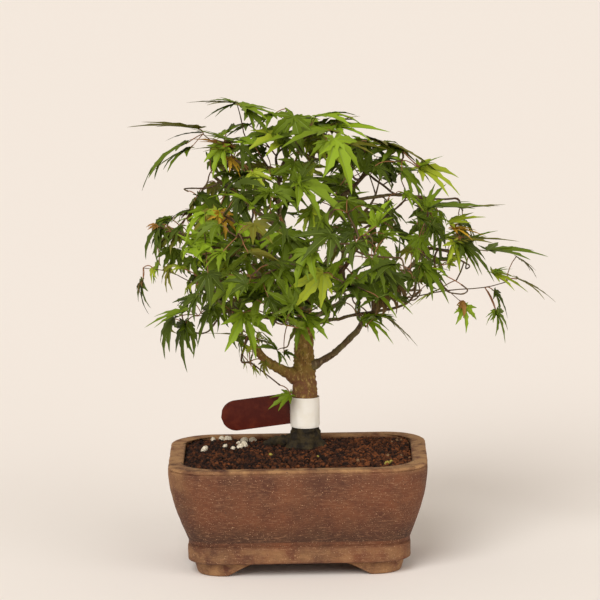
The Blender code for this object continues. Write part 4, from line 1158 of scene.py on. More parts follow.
# For each kind of mass: its leaves' size, how far their lobes bend in radians, and the share of each tint.
CHARACTERS = {
    "top": (0.88, 0.75, (22, 29, 26, 12, 3, 8, 0, 0, 0)),
    "right": (0.64, 0.75, (19, 27, 26, 14, 5, 9, 0, 0, 0)),
    "middle": (0.84, 0.85, (29, 32, 22, 10, 1, 6, 0, 0, 0)),
    "left": (0.62, 1.30, (36, 26, 17, 7, 2, 10, 0, 1, 1)),
    "shoots": (0.36, 0.60, (8, 20, 26, 18, 16, 11, 0, 1, 0)),
}
LEAF_LENGTH = 0.036
LEAVES_AT_REACH = 0.60
SIZE_RANGE = (0.72, 1.22)
BEND_RANGE = (0.5, 1.5)
FOLD_RANGE = (0.25, 0.75)
SPRAY_TINTED = 0.6
TWIG_STEP = 0.008
TWIG_ROOM = 0.4
TWIG_RADIUS = 0.00056
TWIG_THICKENING = 0.32
HEADING_PULL = 0.08
STALK_REACH = 0.018
GROWTH_ROUNDS = 60
SITE_TRIES = 3000
SITE_REACH = 0.82
SITES_OUTWARDS = 0.42
SITE_ROOM = 0.002
WIDEST_SPACING = 0.36
SPACING_DROP = 0.26
CROWN_MIDDLE = np.array((0.02, 0.0, 0.235)) + POT_MIDDLE
TURN_TRIES = 30
LEAF_ALONG_STALK = 0.55
LEAF_OUTWARDS = 0.6
LEAF_HANGING = (0.15, 0.95)
LEAF_LOOSE = 0.25
LEAF_LOOSER = 0.9
LEAF_ROOM = 0.0008
FACE_OUTWARDS = 0.30
FACE_UPWARDS = 1.0
FACE_LOOSE = 0.38
SAMPLED_LOBES = 5
SAMPLED_SHARES = (0.45, 0.8, 1.0)
REACH_SLACK = 0.0015

# The crown's outline in the picture for the leaves that the rule places: down, left edge, right edge
CROWN_ROWS = np.array((
    (103, 268, 345), (119, 222, 376), (131, 196, 388), (143, 198, 398), (155, 208, 424), (179, 212, 440),
    (203, 190, 452), (215, 160, 466), (239, 144, 478), (263, 152, 478), (287, 148, 452), (311, 152, 408),
    (323, 160, 398), (334, 176, 390), (340, 232, 292), (378, 246, 292), (392, 262, 288),
), float)
# Openings in the crown where the picture shows sky or the bare trunk: middle and half sizes in pixels
SKY_GAPS = np.array((
    (154, 303, 13, 18), (329, 341, 11, 17), (478, 303, 17, 14), (518, 267, 22, 9), (466, 278, 18, 9),
    (221, 121, 16, 6), (413, 157, 14, 8), (350, 113, 15, 6), (175, 284, 12, 9), (427, 183, 13, 8),
    (368, 134, 14, 4), (420, 289, 10, 6), (257, 308, 9, 5), (265, 325, 6, 7), (220, 328, 8, 6),
    (376, 184, 12, 4), (390, 327, 8, 7), (259, 356, 6, 8), (403, 209, 10, 7), (393, 310, 7, 6),
    (451, 298, 9, 8), (405, 264, 6, 8), (358, 259, 7, 6), (373, 197, 10, 5), (385, 247, 7, 7),
    (387, 230, 5, 3), (405, 230, 6, 3), (437, 253, 6, 5), (403, 184, 4, 5), (455, 227, 5, 3),
    (360, 174, 4, 5), (352, 300, 5, 6), (279, 327, 5, 6), (290, 166, 4, 5), (188, 349, 6, 6),
    (180, 140, 6, 5), (145, 275, 5, 6), (187, 206, 5, 4), (196, 335, 4, 5), (461, 263, 5, 4),
    (192, 263, 5, 4), (304, 356, 18, 22), (348, 330, 12, 18), (284, 345, 8, 10),
), float)

# Leaves that stand out in the picture: the pixel where the lobes meet, the pixel of the middle lobe's tip,
# how many millimetres it lies behind the pot's middle, how far it faces the front, its size, tint and bend.
# A marked leaf's tint follows how bright it shows: deep green on shaded leaves is painted shade, bright green
# on lit ones painted light
MARKED_LEAVES = {
    "sweep_low": (186, 144, 128, 176, -6, 0.10, 1.30, "mid_green", 0.75),
    "sweep_low_inner": (190, 149, 154, 168, -12, 0.16, 1.00, "mid_green", 0.6),
    "sweep_high": (198, 129, 128, 129, 4, 0.02, 1.50, "olive", 0.20),
    "sweep_high_back": (200, 133, 176, 136, 8, 0.06, 0.75, "deep_green", 0.4),
    "gold_heart": (231, 147, 190, 138, -30, 0.16, 0.95, "russet", 0.3),
    "gold_over": (232, 142, 192, 132, -26, 0.10, 0.90, "mid_green", 0.3),
    "gold_under": (231, 150, 192, 149, -34, 0.14, 0.90, "olive", 0.4),
    "hanging_bright": (223, 146, 212, 173, -36, 0.80, 0.72, "bright_green", 0.5),
    "hanging_russet": (229, 158, 238, 172, -34, 0.60, 0.50, "golden", 0.6),
    "hanging_dark": (240, 146, 251, 173, -40, 0.50, 0.75, "deep_green", 0.5),
    "pale_drop": (253, 172, 266, 189, -44, 0.85, 0.55, "yellow_green", 0.4),
    "crest_olive": (233, 103, 192, 105, 2, 0.10, 0.95, "olive", 0.30),
    "crest_olive_up": (234, 103, 212, 98, -2, 0.16, 0.55, "mid_green", 0.4),
    "crest_drop": (236, 104, 208, 116, 0, 0.14, 0.75, "deep_green", 0.6),
    "crest_right_lobe": (240, 106, 286, 119, -10, 0.22, 1.05, "leaf_green", 0.4),
    "crest_heart": (246, 111, 268, 134, -14, 0.45, 0.80, "mid_green", 0.5),
    "crest_broad": (331, 131, 256, 140, -28, 0.20, 1.55, "leaf_green", 0.45),
    "crest_broad_right": (331, 131, 345, 136, -28, 0.30, 0.50, "olive", 0.5),
    "crest_arch": (316, 117, 369, 109, -5, 0.12, 1.20, "bright_green", 0.95),
    "crest_flat": (312, 119, 285, 120, -4, 0.08, 0.75, "deep_green", 0.3),
    "crest_right": (334, 127, 385, 133, -12, 0.28, 1.10, "bright_green", 0.45),
    "crest_right_up": (334, 124, 353, 118, -8, 0.16, 0.55, "olive", 0.4),
    "crest_right_low": (340, 143, 388, 152, -20, 0.20, 1.05, "olive", 0.4),
    "heart_drop": (334, 139, 353, 189, -52, 0.70, 1.20, "bright_green", 0.5),
    "heart_small": (326, 141, 319, 163, -48, 0.75, 0.60, "leaf_green", 0.4),
    "dark_left": (249, 173, 209, 193, -34, 0.22, 1.00, "deep_green", 0.6),
    "dark_left_thin": (247, 174, 207, 173, -30, 0.06, 0.90, "deep_green", 0.3),
    "centre_star": (298, 183, 350, 209, -76, 0.55, 1.30, "leaf_green", 0.7),
    "centre_up": (298, 183, 289, 170, -74, 0.50, 0.45, "mid_green", 0.3),
    "centre_up_right": (299, 182, 320, 162, -70, 0.45, 0.75, "deep_green", 0.4),
    "centre_dark": (296, 185, 281, 217, -70, 0.65, 0.95, "deep_green", 0.5),
    "centre_left": (268, 192, 233, 208, -66, 0.35, 0.90, "leaf_green", 0.7),
    "centre_under": (267, 193, 266, 220, -68, 0.70, 0.70, "leaf_green", 0.5),
    "middle_star": (311, 210, 303, 236, -72, 0.80, 0.65, "yellow_green", 0.3),
    "middle_star_long": (312, 210, 317, 249, -74, 0.65, 0.90, "mid_green", 0.4),
    "middle_star_right": (313, 210, 325, 243, -70, 0.65, 0.85, "leaf_green", 0.5),
    "big_drop": (285, 234, 305, 280, -90, 0.70, 1.25, "mid_green", 0.6),
    "big_drop_left": (284, 234, 252, 253, -86, 0.40, 0.85, "bright_green", 0.5),
    "big_drop_right": (286, 234, 324, 254, -84, 0.35, 1.00, "deep_green", 0.6),
    "bright_arc": (239, 224, 268, 243, -74, 0.45, 0.90, "bright_green", 1.3),
    "yellow_left": (217, 211, 203, 237, -44, 0.55, 0.75, "yellow_green", 0.5),
    "orange_drop": (220, 212, 229, 237, -48, 0.80, 0.68, "golden", 0.6),
    "olive_left": (215, 212, 190, 238, -42, 0.50, 0.90, "olive", 0.5),
    "left_level": (239, 246, 200, 236, -60, 0.18, 0.90, "leaf_green", 0.6),
    "left_long": (231, 251, 192, 292, -64, 0.35, 1.30, "leaf_green", 0.6),
    "left_short": (231, 257, 238, 278, -66, 0.70, 0.60, "deep_green", 0.5),
    "low_fan": (281, 270, 301, 296, -92, 0.65, 0.85, "leaf_green", 0.4),
    "low_fan_down": (280, 270, 284, 296, -90, 0.60, 0.70, "deep_green", 0.4),
    "low_fan_left": (279, 270, 253, 292, -88, 0.50, 0.85, "mid_green", 0.5),
    "low_star": (283, 300, 273, 325, -80, 0.75, 0.70, "bright_green", 0.5),
    "low_star_level": (282, 300, 263, 302, -78, 0.50, 0.50, "leaf_green", 0.4),
    "low_star_broad": (284, 300, 305, 316, -80, 0.60, 0.70, "bright_green", 0.5),
    "low_star_right": (309, 286, 326, 312, -80, 0.60, 0.80, "mid_green", 0.5),
    "lit_star": (243, 313, 253, 357, -52, 0.90, 1.00, "bright_green", 0.3),
    "lit_star_left": (243, 313, 231, 335, -50, 0.60, 0.62, "leaf_green", 0.4),
    "thin_level": (242, 336, 206, 337, -30, 0.03, 0.85, "olive", 0.15),
    "left_sweep": (187, 311, 146, 325, -30, 0.22, 1.00, "leaf_green", 0.4),
    "left_sweep_drop": (174, 318, 158, 351, -24, 0.35, 0.95, "deep_green", 0.6),
    "left_dark_a": (198, 295, 183, 322, -48, 0.50, 0.75, "deep_green", 0.5),
    "left_dark_b": (212, 307, 201, 343, -46, 0.40, 0.92, "deep_green", 0.5),
    "left_dark_c": (214, 308, 221, 329, -44, 0.50, 0.60, "mid_green", 0.5),
    "left_hanging": (185, 323, 184, 368, -24, 0.40, 1.05, "deep_green", 0.35),
    "left_hanging_right": (186, 323, 195, 350, -22, 0.45, 0.75, "mid_green", 0.5),
    "trunk_star": (306, 318, 329, 336, -60, 0.70, 0.72, "bright_green", 0.4),
    "trunk_star_left": (302, 322, 298, 350, -56, 0.75, 0.70, "leaf_green", 0.4),
    "right_thin": (372, 140, 448, 168, 0, 0.03, 1.75, "olive", 0.4),
    "right_thin_short": (369, 139, 402, 155, -4, 0.10, 0.80, "olive", 0.4),
    "right_lit": (419, 168, 468, 190, -8, 0.42, 1.10, "yellow_green", 0.45),
    "right_lit_up": (420, 167, 443, 157, -8, 0.22, 0.55, "leaf_green", 0.3),
    "right_lit_down": (419, 169, 428, 182, -6, 0.50, 0.38, "deep_green", 0.3),
    "right_level": (430, 208, 489, 210, -18, 0.14, 1.30, "mid_green", 0.20),
    "right_level_end": (462, 209, 508, 209, -10, 0.05, 1.05, "olive", 0.2),
    "right_upward": (427, 208, 446, 184, -16, 0.50, 0.65, "leaf_green", 0.3),
    "right_dark": (417, 216, 448, 240, -34, 0.35, 0.90, "deep_green", 0.5),
    "right_dark_low": (432, 225, 446, 271, -38, 0.40, 1.10, "deep_green", 0.5),
    "right_yellow": (450, 223, 480, 217, -20, 0.30, 0.75, "yellow_green", 0.4),
    "right_gold": (452, 228, 482, 236, -24, 0.30, 0.75, "golden", 0.4),
    "right_shelf": (453, 241, 517, 243, -26, 0.10, 1.45, "olive", 0.25),
    "right_shelf_up": (470, 240, 494, 232, -20, 0.20, 0.6, "mid_green", 0.3),
    "right_shelf_low": (460, 243, 493, 275, -40, 0.40, 1.05, "deep_green", 0.5),
    "right_shelf_hang": (453, 242, 457, 269, -44, 0.75, 0.65, "yellow_green", 0.3),
    "right_shelf_drop": (457, 243, 476, 269, -42, 0.40, 0.80, "mid_green", 0.3),
    "right_tip": (488, 251, 553, 256, -10, 0.16, 1.45, "mid_green", 0.3),
    "right_tip_thin": (516, 257, 541, 275, -4, 0.03, 0.75, "olive", 0.5),
    "right_low": (492, 273, 528, 292, -14, 0.30, 0.95, "yellow_green", 0.4),
    "right_low_up": (492, 273, 512, 269, -12, 0.20, 0.5, "bright_green", 0.3),
    "right_end": (517, 279, 553, 299, -8, 0.06, 1.0, "olive", 0.5),
    "right_hanging": (496, 311, 505, 344, -12, 0.40, 0.78, "mid_green", 0.4),
    "right_hanging_left": (496, 311, 487, 323, -12, 0.50, 0.36, "leaf_green", 0.4),
    "right_hanging_dark": (494, 291, 508, 315, -10, 0.35, 0.65, "deep_green", 0.5),
    "right_curled": (461, 302, 476, 311, -14, 0.60, 0.5, "russet", 2.8),
    "right_curled_leaf": (463, 306, 470, 331, -14, 0.85, 0.60, "bright_green", 0.6),
    "right_inner": (422, 265, 448, 304, -44, 0.45, 1.1, "mid_green", 0.5),
    "right_inner_left": (421, 265, 416, 286, -46, 0.55, 0.55, "deep_green", 0.4),
    "lit_right": (358, 279, 406, 282, -64, 0.35, 1.10, "bright_green", 0.45),
    "lit_right_low": (358, 281, 419, 309, -66, 0.35, 1.45, "bright_green", 0.5),
    "lit_right_down": (358, 281, 380, 303, -62, 0.40, 0.75, "mid_green", 0.5),
    "low_right_up": (364, 318, 391, 315, -30, 0.30, 0.65, "bright_green", 0.5),
    "low_right_down": (364, 318, 391, 337, -34, 0.45, 0.80, "bright_green", 0.5),
    "low_right_small": (365, 318, 367, 330, -30, 0.60, 0.35, "leaf_green", 0.5),
    "low_right_long": (386, 318, 416, 346, -26, 0.05, 0.95, "olive", 0.5),
    "inner_dark_a": (375, 166, 391, 182, -20, 0.55, 0.60, "deep_green", 0.4),
    "inner_edge": (402, 171, 426, 199, -22, 0.40, 0.85, "mid_green", 0.5),
    "inner_edge_low": (404, 193, 422, 208, -26, 0.50, 0.60, "leaf_green", 0.4),
    "inner_hanging": (387, 201, 391, 220, -28, 0.50, 0.50, "deep_green", 0.4),
    "inner_level": (384, 234, 411, 239, -40, 0.35, 0.65, "leaf_green", 0.4),
    "inner_small_a": (360, 230, 368, 244, -50, 0.70, 0.40, "bright_green", 0.4),
    "inner_small_b": (341, 238, 349, 250, -56, 0.70, 0.38, "bright_green", 0.4),
    "inner_small_c": (359, 243, 371, 259, -48, 0.65, 0.48, "mid_green", 0.4),
    "inner_drop": (378, 249, 394, 272, -44, 0.50, 0.65, "leaf_green", 0.4),
    "inner_olive": (411, 249, 394, 263, -36, 0.50, 0.50, "olive", 0.5),
    "inner_short": (415, 249, 417, 264, -38, 0.60, 0.40, "leaf_green", 0.4),
    "inner_dark_b": (350, 225, 331, 234, -48, 0.50, 0.55, "deep_green", 0.5),
    "label_leaf": (291, 395, 268, 409, 3, 0.60, 0.62, "leaf_green", 0.3),
    "curl_tan": (157, 226, 148, 221, -12, 0.60, 0.30, "russet", 2.4),
    "curl_a": (160, 226, 139, 250, -10, 0.35, 0.80, "deep_green", 1.3),
    "curl_b": (164, 231, 148, 256, -14, 0.45, 0.75, "deep_green", 1.1),
    "curl_c": (194, 211, 165, 211, -4, 0.12, 0.70, "deep_green", 1.0),
    "curl_d": (193, 212, 180, 206, 0, 0.30, 0.45, "dry_brown", 2.2),
    "curl_e": (178, 236, 160, 245, -16, 0.50, 0.60, "olive", 1.3),
    "curl_f": (182, 226, 166, 240, -20, 0.40, 0.65, "deep_green", 1.2),
    "left_small": (153, 268, 152, 281, -12, 0.45, 0.36, "yellow_green", 0.6),
    "left_dry": (143, 280, 129, 294, -6, 0.20, 0.45, "dry_brown", 1.6),
    "left_dry_hanging": (143, 280, 140, 314, -6, 0.25, 0.78, "deep_green", 0.7),
    "left_olive": (170, 267, 162, 293, -20, 0.50, 0.62, "olive", 0.8),
    "clump_left_a": (247, 283, 231, 291, -40, 0.60, 0.5, "dry_brown", 2.4),
    "clump_left_b": (240, 284, 245, 292, -44, 0.70, 0.45, "dry_brown", 2.6),
    "clump_right_a": (384, 291, 402, 303, -40, 0.60, 0.6, "dry_brown", 2.4),
    "clump_right_b": (378, 297, 392, 308, -44, 0.70, 0.6, "dry_brown", 2.6),
    "clump_right_c": (398, 286, 409, 297, -38, 0.60, 0.55, "dry_brown", 2.6),
    "stub_leaf_a": (284, 352, 297, 358, -12, 0.50, 0.34, "deep_green", 0.6),
    "stub_leaf_b": (265, 361, 263, 378, -10, 0.55, 0.44, "olive", 0.7),
}
# Thin twigs that show as lines in the picture: pixels along each from its foot on a bough, then how many
# millimetres its foot and its end lie behind the pot's middle, and its radius in millimetres.
MARKED_TWIGS = {
    "right_long": (((376, 300), (392, 299), (409, 298), (446, 290), (485, 288), (506, 282)), 6, -10, 0.62),
    "right_hanging": (((420, 266), (441, 284), (461, 302)), 4, -12, 0.45),
    "left_long": (((302, 326), (288, 323), (255, 315), (232, 312), (198, 316)), 14, -26, 0.60),
    "left_outer": (((239, 310), (215, 290), (192, 283), (170, 271), (143, 268)), -6, -8, 0.50),
    "top_red": (((281, 182), (262, 160), (245, 140), (241, 118), (237, 104)), 12, -2, 0.62),
    "top_stem": (((281, 182), (284, 168), (286, 154)), 12, -10, 0.70),
    "sweep_stem": (((237, 190), (233, 170), (222, 150), (203, 134)), 6, 0, 0.60),
}
MARKED_TWIG_END = 0.6
KNOT_REACH = 0.028
LONGER_THAN_SHOWN = 1.04
TOWARDS_FRONT = 0.7
MARKED_FOLD = (0.18, 0.4)
MARKED_TILT = (0.3, 0.7)
LOBE_ANGLES = np.radians((0, 38, -38, 76, -76, 118, -118))
LOBE_LENGTHS = np.array((1.0, 0.86, 0.86, 0.58, 0.58, 0.28, 0.28))
LOBE_SEGMENTS = (4, 4, 4, 3, 3, 2, 2)
LOBE_HALF_WIDTH = 0.116
LOBE_NARROWING = 0.75
LOBE_WIDENING = 0.65
LOBE_TAPER = 1.15
TOOTH_PLACE = 0.62
TOOTH_OUT = 1.14
TOOTH_IN = 0.80
RIB_HALF_WIDTH = 0.006
RIB_TAPER = 0.75
RIB_MARGIN = 0.002
LOBE_RISE = 0.16
LENGTH_SPREAD = 0.10
BEND_SPREAD = 0.45
TILT_SPREAD = 0.35
TURN_SPREAD = 0.11
LEAST_ARC = 0.02
DRAWN_IN = 0.10
MOST_DRAWN_IN = 2


def space_excess(name, points):
    """How far points lie outside a mass's reach, as the difference of squares."""
    _, centre, reach, _ = MASSES[name]
    middle = MILLIMETRE * np.array(centre) + POT_MIDDLE
    return ((points - middle) ** 2).sum(axis=-1) - (MILLIMETRE * reach) ** 2


def inside_space(name, points):
    """True for points within the mass's reach and on its side of the plane between it and each other."""
    own = space_excess(name, points)
    inside = own < 0
    for other in MASSES:
        inside &= (own < space_excess(other, points)) | (other == name)
    return inside


limb_starts, limb_ends, limb_radii = (np.concatenate(part) for part in zip(*(
    (path[:-9:9], path[9::9], radii[9::9]) for path, radii in limbs.values()
)))


def room_from_limbs(points):
    """Distance from each point to the nearest trunk or bough's skin."""
    away = points[..., None, :] - limb_starts
    span = limb_ends - limb_starts
    share = np.clip((away * span).sum(axis=-1) / (span * span).sum(axis=-1), 0, 1)
    return (np.linalg.norm(away - share[..., None] * span, axis=-1) - limb_radii).min(axis=-1)


def beyond_reach(points):
    """True for points past every mass's reach, or past the solids' box, by more than the slack."""
    middles = MILLIMETRE * np.array([centre for _, centre, _, _ in MASSES.values()]) + POT_MIDDLE
    reaches = MILLIMETRE * np.array([reach for _, _, reach, _ in MASSES.values()])
    over = np.linalg.norm(points[..., None, :] - middles, axis=-1) - reaches
    past_low = points < np.array(cad_low) - REACH_SLACK
    past_high = points > np.array(cad_high) + REACH_SLACK
    return (over.min(axis=-1) > REACH_SLACK) | (past_low | past_high).any(axis=-1)


def leaf_template():
    """For each corner of the leaf: its lobe, its share along it and its place across it, then the faces of
    the blade and of the ribs. A lobe's width is a power of the share along it times a power of the rest, and
    each side has a forward tooth between every two stations."""
    corners, blade, ribs = [], [], []
    widest = LOBE_WIDENING / (LOBE_WIDENING + LOBE_TAPER)
    peak = widest**LOBE_WIDENING * (1 - widest) ** LOBE_TAPER
    for lobe, (length, segments) in enumerate(zip(LOBE_LENGTHS, LOBE_SEGMENTS)):
        def half_width(t):
            widest_here = LOBE_HALF_WIDTH * length**LOBE_NARROWING
            return widest_here * t**LOBE_WIDENING * (1 - t) ** LOBE_TAPER / peak

        def rib_width(t):
            return RIB_HALF_WIDTH * (1 - RIB_TAPER * t)

        first = len(corners)
        for station in range(segments + 1):
            t = station / segments
            edge = max(TOOTH_IN * half_width(t), rib_width(t) + RIB_MARGIN)
            corners += [(lobe, t, side * width) for width in (rib_width(t), edge) for side in (1, -1)]
        teeth = len(corners)
        for segment in range(segments):
            t = (segment + TOOTH_PLACE) / segments
            corners += [(lobe, t, side * TOOTH_OUT * half_width(t)) for side in (1, -1)]
        for segment in range(segments):
            here, after, tooth = first + 4 * segment, first + 4 * segment + 4, teeth + 2 * segment
            blade.append((here, after, after + 2, tooth, here + 2))
            blade.append((here + 3, tooth + 1, after + 3, after + 1, here + 1))
            ribs.append((here + 1, after + 1, after, here))
    return np.array(corners), np.array(blade), np.array(ribs)


LEAF_CORNERS, BLADE_FACES, RIB_FACES = leaf_template()


def leaf_shape(base, forward, face, size, bend, fold, chance_rows, corners):
    """Corners of many leaves at once. Each lobe rises a little and then bends down along an arc of a circle,
    its two halves folded up about the rib, and lobes differ in bend, angle, length and tilt."""
    lobe = corners[:, 0].astype(int)
    along, across = corners[:, 1], corners[:, 2]
    draw = chance_rows[:, :, lobe]
    length = LOBE_LENGTHS[lobe] * (1 + LENGTH_SPREAD * draw[:, 0])
    arc = np.maximum(bend[:, None] * (1 + BEND_SPREAD * draw[:, 1]), LEAST_ARC) * LOBE_LENGTHS[lobe]
    heading = LOBE_RISE - arc * along
    x = length / arc * (np.sin(LOBE_RISE) - np.sin(heading))
    z = length / arc * (np.cos(heading) - np.cos(LOBE_RISE))
    lift = fold[:, None] * np.abs(across) + TILT_SPREAD * draw[:, 2] * across
    x = x - lift * np.sin(heading)
    z = z + lift * np.cos(heading)
    drawn_in = DRAWN_IN * bend[:, None].clip(0, MOST_DRAWN_IN)
    turn = LOBE_ANGLES[lobe] * (1 - drawn_in) + TURN_SPREAD * draw[:, 3]
    ahead = x * np.cos(turn) - across * np.sin(turn)
    aside = x * np.sin(turn) + across * np.cos(turn)
    sideways = np.cross(face, forward)
    offset = ahead[..., None] * forward[:, None] + aside[..., None] * sideways[:, None]
    offset = offset + z[..., None] * face[:, None]
    return base[:, None] + size[:, None, None] * offset


def square_to(face, forward):
    """The face direction turned square to the forward direction."""
    return unit(face - (face * forward).sum(axis=-1, keepdims=True) * forward)


def marked_leaves():
    """Base, forward way, face, size, tint and bend of the leaves placed by the picture. Each reaches towards
    the front by the part of its length that the picture doesn't show."""
    *pixels, depths, facing, sizes, tints, bends = zip(*MARKED_LEAVES.values())
    pixels = np.array(pixels, float).T
    depths = MILLIMETRE * np.array(depths)
    bases = in_space(pixels[:, :2], DEPTH_AXIS, depths)
    tips = in_space(pixels[:, 2:], DEPTH_AXIS, depths)
    facing = np.array(facing)[:, None]
    tint = np.array([list(LEAF_TINTS).index(name) for name in tints])
    bend = np.array(bends)
    shown = np.linalg.norm(tips - bases, axis=1)
    size = np.maximum(LEAF_LENGTH * np.array(sizes), shown * LONGER_THAN_SHOWN)
    hidden = np.sqrt(size**2 - shown**2)[:, None] * (0.0, -1.0, 0.0)
    forward = unit(tips - bases + TOWARDS_FRONT * facing * hidden)
    aside = unit(np.cross(view_back, forward))
    aside = aside * np.where(aside @ view_up < 0, -1.0, 1.0)[:, None]
    face = square_to(facing * view_back + np.sqrt(1 - facing**2) * aside, forward)
    return bases, forward, face, size, tint, bend


def marked_twigs():
    """Bends and radii of the twigs placed by the picture, each thinner towards its end."""
    twigs = []
    for pixels, foot_depth, end_depth, radius in MARKED_TWIGS.values():
        depths = MILLIMETRE * np.linspace(foot_depth, end_depth, len(pixels))
        thick = radius * MILLIMETRE * np.linspace(1.0, MARKED_TWIG_END, len(pixels))
        twigs.append((in_space(pixels, DEPTH_AXIS, depths), thick))
    return twigs


def choose_sites(name, chosen, chance):
    """Places for leaves: the marked ones of this mass, and the rest spread evenly through its space."""
    _, centre, reach, _ = MASSES[name]
    middle, reach = MILLIMETRE * np.array(centre) + POT_MIDDLE, MILLIMETRE * reach
    count = len(chosen) + int(LEAVES_AT_REACH * reach / MILLIMETRE)
    sites = list(chosen)
    outward = unit(chance.normal(size=(SITE_TRIES, 3)))
    far_out = chance.uniform(size=(SITE_TRIES, 1)) ** SITES_OUTWARDS
    places = middle + SITE_REACH * reach * outward * far_out
    fit = inside_space(name, places) & (room_from_limbs(places) > SITE_ROOM)
    for attempt, place in enumerate(places):
        spacing = reach * (WIDEST_SPACING - SPACING_DROP * attempt / SITE_TRIES)
        if fit[attempt] and all(np.linalg.norm(place - other) > spacing for other in sites):
            sites.append(place)
        if len(sites) >= count:
            break
    return np.array(sites)


def grow_twigs(start, heading, sites, held):
    """Nodes and parents of a tree that grows from one stem: each round, every site that no twig has reached
    yet pulls the nearest node, and each pulled node puts out one step towards the mean of its pulls. Sites
    that a marked twig holds don't pull."""
    nodes = [start, start + TWIG_STEP * heading]
    parents = [-1, 0]
    served = {site: 0 for site in held}
    for _ in range(GROWTH_ROUNDS):
        apart = np.linalg.norm(np.array(nodes)[None, 1:] - sites[:, None], axis=2)
        nearest = apart.argmin(axis=1) + 1
        for site in range(len(sites)):
            if site not in served and apart[site, nearest[site] - 1] < STALK_REACH:
                served[site] = int(nearest[site])
        pulls = {}
        for site in set(range(len(sites))) - set(served):
            pulls.setdefault(int(nearest[site]), []).append(unit(sites[site] - nodes[nearest[site]]))
        grown = 0
        for node, ways in pulls.items():
            new = nodes[node] + TWIG_STEP * unit(np.mean(ways, axis=0) + HEADING_PULL * heading)
            if np.linalg.norm(np.array(nodes) - new, axis=1).min() > TWIG_ROOM * TWIG_STEP:
                nodes.append(new)
                parents.append(node)
                grown += 1
        if not grown:
            break
    return np.array(nodes), parents, served


def twig_chains(parents, ends):
    """Splits the tree into twigs: the path on from each fork keeps to its heavier side, and the lighter side
    starts a new twig there. Gives each twig's nodes, each node's load of leaves and each node's twig."""
    load = np.zeros(len(parents))
    for node in ends:
        while node >= 0:
            load[node] += 1
            node = parents[node]
    children = {}
    for node, parent in enumerate(parents):
        if parent >= 0 and load[node] > 0:
            children.setdefault(parent, []).append(node)
    chains, owner = [], {}
    starts = [(None, 0)]
    while starts:
        fork, node = starts.pop()
        chain = [node] if fork is None else [fork, node]
        while node in children:
            ordered = sorted(children[node], key=lambda child: -load[child])
            starts += [(node, child) for child in ordered[1:]]
            node = ordered[0]
            chain.append(node)
        for member in chain[0 if fork is None else 1:]:
            owner[member] = len(chains)
        chains.append(chain)
    return chains, load, owner


def faults(shapes):
    """For each leaf, how many of its sample points leave the crown's outline or the masses' reach, show in a
    gap or touch a limb."""
    across, down = np.moveaxis(in_picture(shapes), -1, 0)
    rows, left_edge, right_edge = CROWN_ROWS.T
    left = np.interp(down, rows, left_edge, left=np.inf, right=np.inf)
    right = np.interp(down, rows, right_edge, left=-np.inf, right=-np.inf)
    outside = (across < left) | (across > right)
    gap = ((across[..., None] - SKY_GAPS[:, 0]) / SKY_GAPS[:, 2]) ** 2
    gap = gap + ((down[..., None] - SKY_GAPS[:, 1]) / SKY_GAPS[:, 3]) ** 2
    touching = room_from_limbs(shapes) < LEAF_ROOM
    return (outside | (gap < 1).any(axis=-1) | touching | beyond_reach(shapes)).sum(axis=-1)


def turn_leaves(bases, nodes, middle, size, bend, fold, draws, chance):
    """Turns each leaf at random round the way that its stalk points, outwards and hanging, until it leaves
    the crown's outline and gaps free. Gives the best turn of each and how many faults it still has."""
    stalk = unit(bases - nodes)
    away = unit(unit(bases - middle) + unit(bases - CROWN_MIDDLE))
    samples = [(lobe, share, 0.0) for lobe in range(SAMPLED_LOBES) for share in SAMPLED_SHARES]
    samples = np.array(samples + [(0, 0.0, 0.0)])
    best = np.full(len(bases), len(samples) + 1)
    forwards, faces = np.zeros_like(bases), np.zeros_like(bases)
    for attempt in range(TURN_TRIES):
        loose = LEAF_LOOSE + LEAF_LOOSER * attempt / TURN_TRIES
        hang = np.array((0.0, 0.0, -1.0)) * chance.uniform(*LEAF_HANGING, (len(bases), 1))
        astray = loose * chance.normal(size=bases.shape)
        forward = unit(LEAF_ALONG_STALK * stalk + LEAF_OUTWARDS * away + hang + astray)
        tilted = FACE_LOOSE * chance.normal(size=bases.shape)
        face = square_to(FACE_OUTWARDS * away + np.array((0.0, 0.0, FACE_UPWARDS)) + tilted, forward)
        found = faults(leaf_shape(bases, forward, face, size, bend, fold, draws, samples))
        better = found < best
        best[better] = found[better]
        forwards[better], faces[better] = forward[better], face[better]
    return forwards, faces, best


